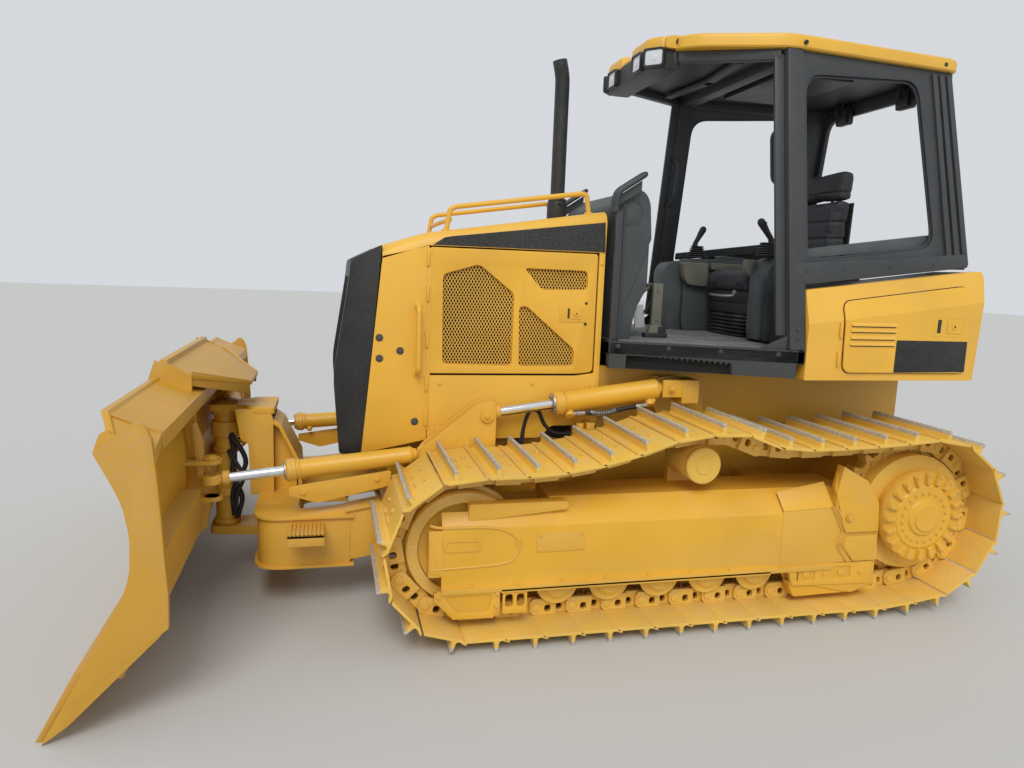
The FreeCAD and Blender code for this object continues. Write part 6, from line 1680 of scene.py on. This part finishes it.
# Cylinders
def cylinder(barrel, rod, rear, eye, pins, length, radius, bar, ports, mirror=False):
    """A hydraulic cylinder: eyes, tube, welds, gland with its bolts, ports and rod."""
    rear, eye, pin, far_pin = Vector(rear), Vector(eye), Vector(pins[0]), Vector(pins[1])
    run = (eye - rear).normalized()
    reach = (eye - rear).length

    def round_eye(form, spot, pin):
        """The ring at one end that takes a pin."""
        across = run.cross(pin).normalized()
        profile = ((19, -20.2), (38, -20.2), (42, -16), (42, 16), (38, 20.2), (19, 20.2))
        form.loft([circle(spot + pin * height, run, across, r, 36) for r, height in profile], closed=True)

    form = Form()
    round_eye(form, rear, pin)
    neck = 56
    form.turned(rear, eye, [(38, 20), (40, 30), (neck, 34), (neck + 2, radius - 2), (neck + 8, radius),
            (neck + 14, radius + 3), (neck + 20, radius), (length - 62, radius), (length - 60, radius + 5),
            (length - 52, radius + 6), (length - 50, radius + 2), (length - 44, radius + 2),
            (length - 42, radius + 9), (length - 8, radius + 9), (length - 4, radius + 6),
            (length, radius + 2), (length + 0.1, bar + 1.5), (neck + 30, bar + 1.5), (neck + 29, 4),
            (38.1, 3)], 36)
    up = Vector(ports)
    up = (up - run * up.dot(run)).normalized()
    lift = run.cross(up)

    def heads(form, count, first, height, along, across, out):
        """Bolt heads round the tube, standing outwards or along it."""
        for index in range(count):
            angle = 2 * math.pi * (index + first) / count
            way = up * math.cos(angle) + lift * math.sin(angle)
            spot = rear + run * along + way * across
            form.rod(spot, spot + (way if out else run) * height, 5, sides=6, edge=0.8, turn=angle)

    heads(form, 8, 0.5, 4, length - 26, radius + 8, True)
    for share in (neck + 34, length - 76):
        spot = rear + run * share
        form.rod(spot, spot + up * (radius + 13), 15, sides=20, edge=2)
        form.rod(spot + up * (radius + 10), spot + up * (radius + 20), 11, sides=6, edge=1.5)
    form.make(barrel + "_shown", "frame_yellow", NODES[barrel]["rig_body"], (barrel,), mirror=mirror)
    form = Form()
    form.turned(rear, eye, [(length - 3, bar + 1.5), (length - 3, radius + 1), (length + 4, radius),
            (length + 6, radius - 6), (length + 6, bar + 1.5)], 36, closed=True)
    heads(form, 10, 0, 5, length + 5, radius - 7, False)
    form.make(barrel + "_gland", "steel", NODES[barrel]["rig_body"], mirror=mirror)
    form = Form()
    form.turned(rear, eye, [(reach - 30, 4), (reach - 31, bar), (reach - min(reach - length + 320, length),
            bar), (reach - min(reach - length + 321, length + 1), 4)][::-1], 28)
    form.make(rod + "_shown", "chrome_rod", NODES[rod]["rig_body"], (rod,), mirror=mirror)
    form = Form()
    round_eye(form, eye, far_pin)
    form.turned(rear, eye, [(reach - 74, bar - 1), (reach - 74, bar + 3), (reach - 68, bar + 9),
            (reach - 46, bar + 10), (reach - 36, 20), (reach - 36, 3)], 28)
    form.make(rod + "_eye", "frame_yellow", NODES[rod]["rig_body"], mirror=mirror)


def lift_lines(side, mirror):
    """Ports, fittings and the sprung hose along a lift cylinder."""
    body = NODES["lift_barrel_" + side]["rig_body"]
    form = Form()
    form.rod((1634, 490, 900), (1634, 516, 876), 22, sides=24, edge=3)
    form.rod((1226, 490, 956), (1226, 516, 926), 20, sides=24, edge=3)
    form.make("lift_ports_" + side, "frame_yellow", body, mirror=mirror)
    form = Form()
    for a, b, reach in (((1620, 506, 886), (1596, 507, 888), 12), ((1596, 507, 888), (1584, 507, 889), 15),
            ((1584, 507, 889), (1556, 507, 891), 11), ((1300, 507, 920), (1262, 507, 925), 11),
            ((1262, 507, 925), (1240, 506, 928), 14)):
        form.rod(a, b, reach, sides=6 if reach > 13 else 16, edge=1.2)
    coil = []
    for step in range(15 * 12):
        turn, share = 2 * math.pi * step / 12, step / (15 * 12)
        droop = 12 * math.sin(math.pi * share)
        coil.append((1530 - 130 * share, 507 + 14.5 * math.cos(turn),
                893 + 12 * share - droop + 14.5 * math.sin(turn)))
    form.tube(coil, 2, 5)
    form.make("lift_fittings_" + side, "steel", body, mirror=mirror)
    form = Form()
    form.tube([(1560, 507, 891), (1500, 507, 890), (1430, 507, 892), (1370, 507, 908), (1296, 507, 921)],
            11, 12, 30)
    form.make("lift_hose_" + side, "rubber", body, mirror=mirror)


def tower_hoses():
    """Hoses down the swivel post."""
    form = Form()
    form.tube([(3212, 66, 700), (3164, 74, 640), (3140, 72, 570), (3176, 66, 500), (3214, 60, 430),
            (3206, 52, 300)], 12, 12, 50)
    form.tube([(3216, 40, 690), (3196, 70, 600), (3212, 78, 540), (3190, 80, 470), (3160, 72, 400),
            (3190, 60, 290)], 12, 12, 50)
    form.tube([(3220, 70, 620), (3178, 92, 560), (3150, 94, 500), (3186, 86, 430), (3200, 76, 310)], 10, 12,
            50)
    for x, y, z in ((3212, 60, 706), (3216, 40, 694), (3218, 62, 626)):
        form.rod((x + 6, y - 6, z + 10), (x - 6, y + 2, z - 14), 16, sides=6, edge=2)
    form.make("swivel_hoses", "rubber", NODES["swivel_post"]["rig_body"])


def chassis_lines():
    """Hoses, valves and pin bosses on the main frame."""
    form = Form()
    for step in range(3):
        y, rise = 396 + step * 13, step * 12
        form.tube([(1862 - step * 8, y, 690), (1846 - step * 6, y, 800 + rise), (1806, y, 874 + rise),
                (1766, y, 872 + rise), (1736, y, 800 + rise), (1690, y - 4, 762 + rise * 0.5),
                (1604, y - 10, 744 + rise)], 12.5 if step < 2 else 9, 12, 46)
        form.rod((1616, y - 8, 746 + rise), (1590, y - 12, 742 + rise), 15, sides=6, edge=2)
    form.both_sides().make("chassis_hoses", "rubber")
    form = Form()
    form.box((1486, 1596), (422, 520), (726, 806), 8)
    form.box((1500, 1540), (420, 500), (806, 838), 5)
    form.rod((1570, 480, 806), (1570, 480, 836), 20, sides=24, edge=2)
    form.bolts([(x, 520, z) for x in (1500, 1582) for z in (742, 790)], 8, 6)
    form.both_sides().make("chassis_valves", "frame_yellow")
    form = Form()
    for side in (-1, 1):
        form.lathe((1124, side * 480, 1012), "Y", [(-62, 8), (-62, 44), (-56, 48), (-24, 48), (-24, 20)]
                if side > 0 else [(24, 20), (24, 48), (56, 48), (62, 44), (62, 8)], 32, 1)
        form.bolts([(1124, side * 542, 1012)], 12, 8, (0, side, 0))
    form.make("lift_pin_bosses", "frame_yellow")


def build_cylinders():
    """Hydraulic cylinders with their rods, lines and hoses."""
    for side, mirror in (("left", False), ("right", True)):
        upright, level = (0, 0, 1), (0, 1, 0)
        cylinder("lift_barrel_" + side, "lift_rod_" + side, (1124, 480, 1012), (2041, 480, 886),
                (level, level), 590, 50, 24, (0, 0.35, -1), mirror)
        cylinder("angle_barrel_" + side, "angle_rod_" + side, (2320, 480, 700), (3235, 550, 626),
                (level, upright), 618, 41, 22, (0, -0.6, -1), mirror)
        lift_lines(side, mirror)
    cylinder("tilt_barrel", "tilt_rod", (3260, -150, 790), (3260, -720, 840), ((1, 0, 0), (1, 0, 0)), 330,
            44, 20, (0, 0, 1))
    tower_hoses()
    chassis_lines()


# Add-on
class DozerColours(bpy.types.PropertyGroup):
    """Colours a user may change before the pieces are built."""

    machine: bpy.props.FloatVectorProperty(name="Machine", description="Body paint", subtype="COLOR",
            default=(0.84, 0.465, 0.037), min=0, max=1)
    frames: bpy.props.FloatVectorProperty(name="Frames",
            description="Paint of the chassis, track frames and push frame", subtype="COLOR",
            default=(0.80, 0.435, 0.028), min=0, max=1)
    # The blade's default is the machine yellow made darker: painted shade.
    blade: bpy.props.FloatVectorProperty(name="Blade", description="Paint of the blade", subtype="COLOR",
            default=(0.62, 0.325, 0.018), min=0, max=1)
    tracks: bpy.props.FloatVectorProperty(name="Tracks", description="Track and roller paint",
            subtype="COLOR", default=(0.86, 0.53, 0.07), min=0, max=1)
    canopy: bpy.props.FloatVectorProperty(name="Canopy", description="Canopy and grille paint",
            subtype="COLOR", default=(0.036, 0.040, 0.044), min=0, max=1)
    interior: bpy.props.FloatVectorProperty(name="Interior", description="Dash and console plastic",
            subtype="COLOR", default=(0.062, 0.072, 0.075), min=0, max=1)
    seat: bpy.props.FloatVectorProperty(name="Seat", description="Seat cloth", subtype="COLOR",
            default=(0.030, 0.031, 0.036), min=0, max=1)


def piece_operator(word, label, build):
    """An operator that builds one group of pieces."""

    def execute(self, context):
        build()
        return {"FINISHED"}

    return type("DOZER_OT_" + word, (bpy.types.Operator,),
            {"__doc__": build.__doc__, "bl_idname": "dozer." + word, "bl_label": label,
            "bl_options": {"REGISTER", "UNDO"}, "execute": execute})


class DozerSizes(bpy.types.PropertyGroup):
    """Sizes a user may change before the pieces are built."""

    screen_pitch: bpy.props.FloatProperty(name="Screen Pitch",
            description="Spacing of the bars in the engine doors' screens", default=0.013, min=0.006,
            max=0.05, subtype="DISTANCE", unit="LENGTH")
    rib_wear: bpy.props.FloatProperty(name="Rib Wear",
            description="Depth of the rubbed band on the track's ribs", default=0.018, min=0.002, max=0.03,
            subtype="DISTANCE", unit="LENGTH")
    cushion_swell: bpy.props.FloatProperty(name="Cushion Swell",
            description="How far a seat cushion may swell", default=0.013, min=0.0, max=0.03,
            subtype="DISTANCE", unit="LENGTH")
    lamp_frame: bpy.props.FloatProperty(name="Lamp Frame",
            description="Width of the frame round a lamp's lens", default=0.009, min=0.003, max=0.02,
            subtype="DISTANCE", unit="LENGTH")


STEPS = [
    ("stage", "Stage", build_stage),
    ("tracks", "Tracks", build_tracks),
    ("undercarriage", "Undercarriage", build_undercarriage),
    ("chassis", "Chassis", build_chassis),
    ("hood", "Hood", build_hood),
    ("canopy", "Canopy", build_canopy),
    ("station", "Operator station", build_station),
    ("rear", "Rear body", build_rear),
    ("blade", "Blade gear", build_blade),
    ("cylinders", "Cylinders", build_cylinders),
]
OPERATORS = [piece_operator(*step) for step in STEPS]


class DOZER_PT_pieces(bpy.types.Panel):
    """Lists the pieces of the bulldozer and its colours."""

    bl_idname = "DOZER_PT_pieces"
    bl_label = "Bulldozer"
    bl_space_type = "VIEW_3D"
    bl_region_type = "UI"
    bl_category = "Bulldozer"

    def draw(self, context):
        """Draws the colours and one button for each group of pieces."""
        for group in (context.scene.dozer_colours, context.scene.dozer_sizes):
            for name in type(group).__annotations__:
                self.layout.prop(group, name)
        for step in STEPS:
            self.layout.operator("dozer." + step[0])


CLASSES = [DozerColours, DozerSizes] + OPERATORS + [DOZER_PT_pieces]


def register():
    """Adds the classes and the scene's choices."""
    for item in CLASSES:
        bpy.utils.register_class(item)
    bpy.types.Scene.dozer_colours = bpy.props.PointerProperty(type=DozerColours)
    bpy.types.Scene.dozer_sizes = bpy.props.PointerProperty(type=DozerSizes)


def unregister():
    """Takes them away again."""
    del bpy.types.Scene.dozer_sizes
    del bpy.types.Scene.dozer_colours
    for item in reversed(CLASSES):
        bpy.utils.unregister_class(item)


def main():
    """Builds every piece and writes the sizes before and after."""
    register()
    for step in STEPS:
        getattr(bpy.ops.dozer, step[0])()
    bpy.data.meshes.remove(SCRATCH)


if __name__ == "__main__":
    main()
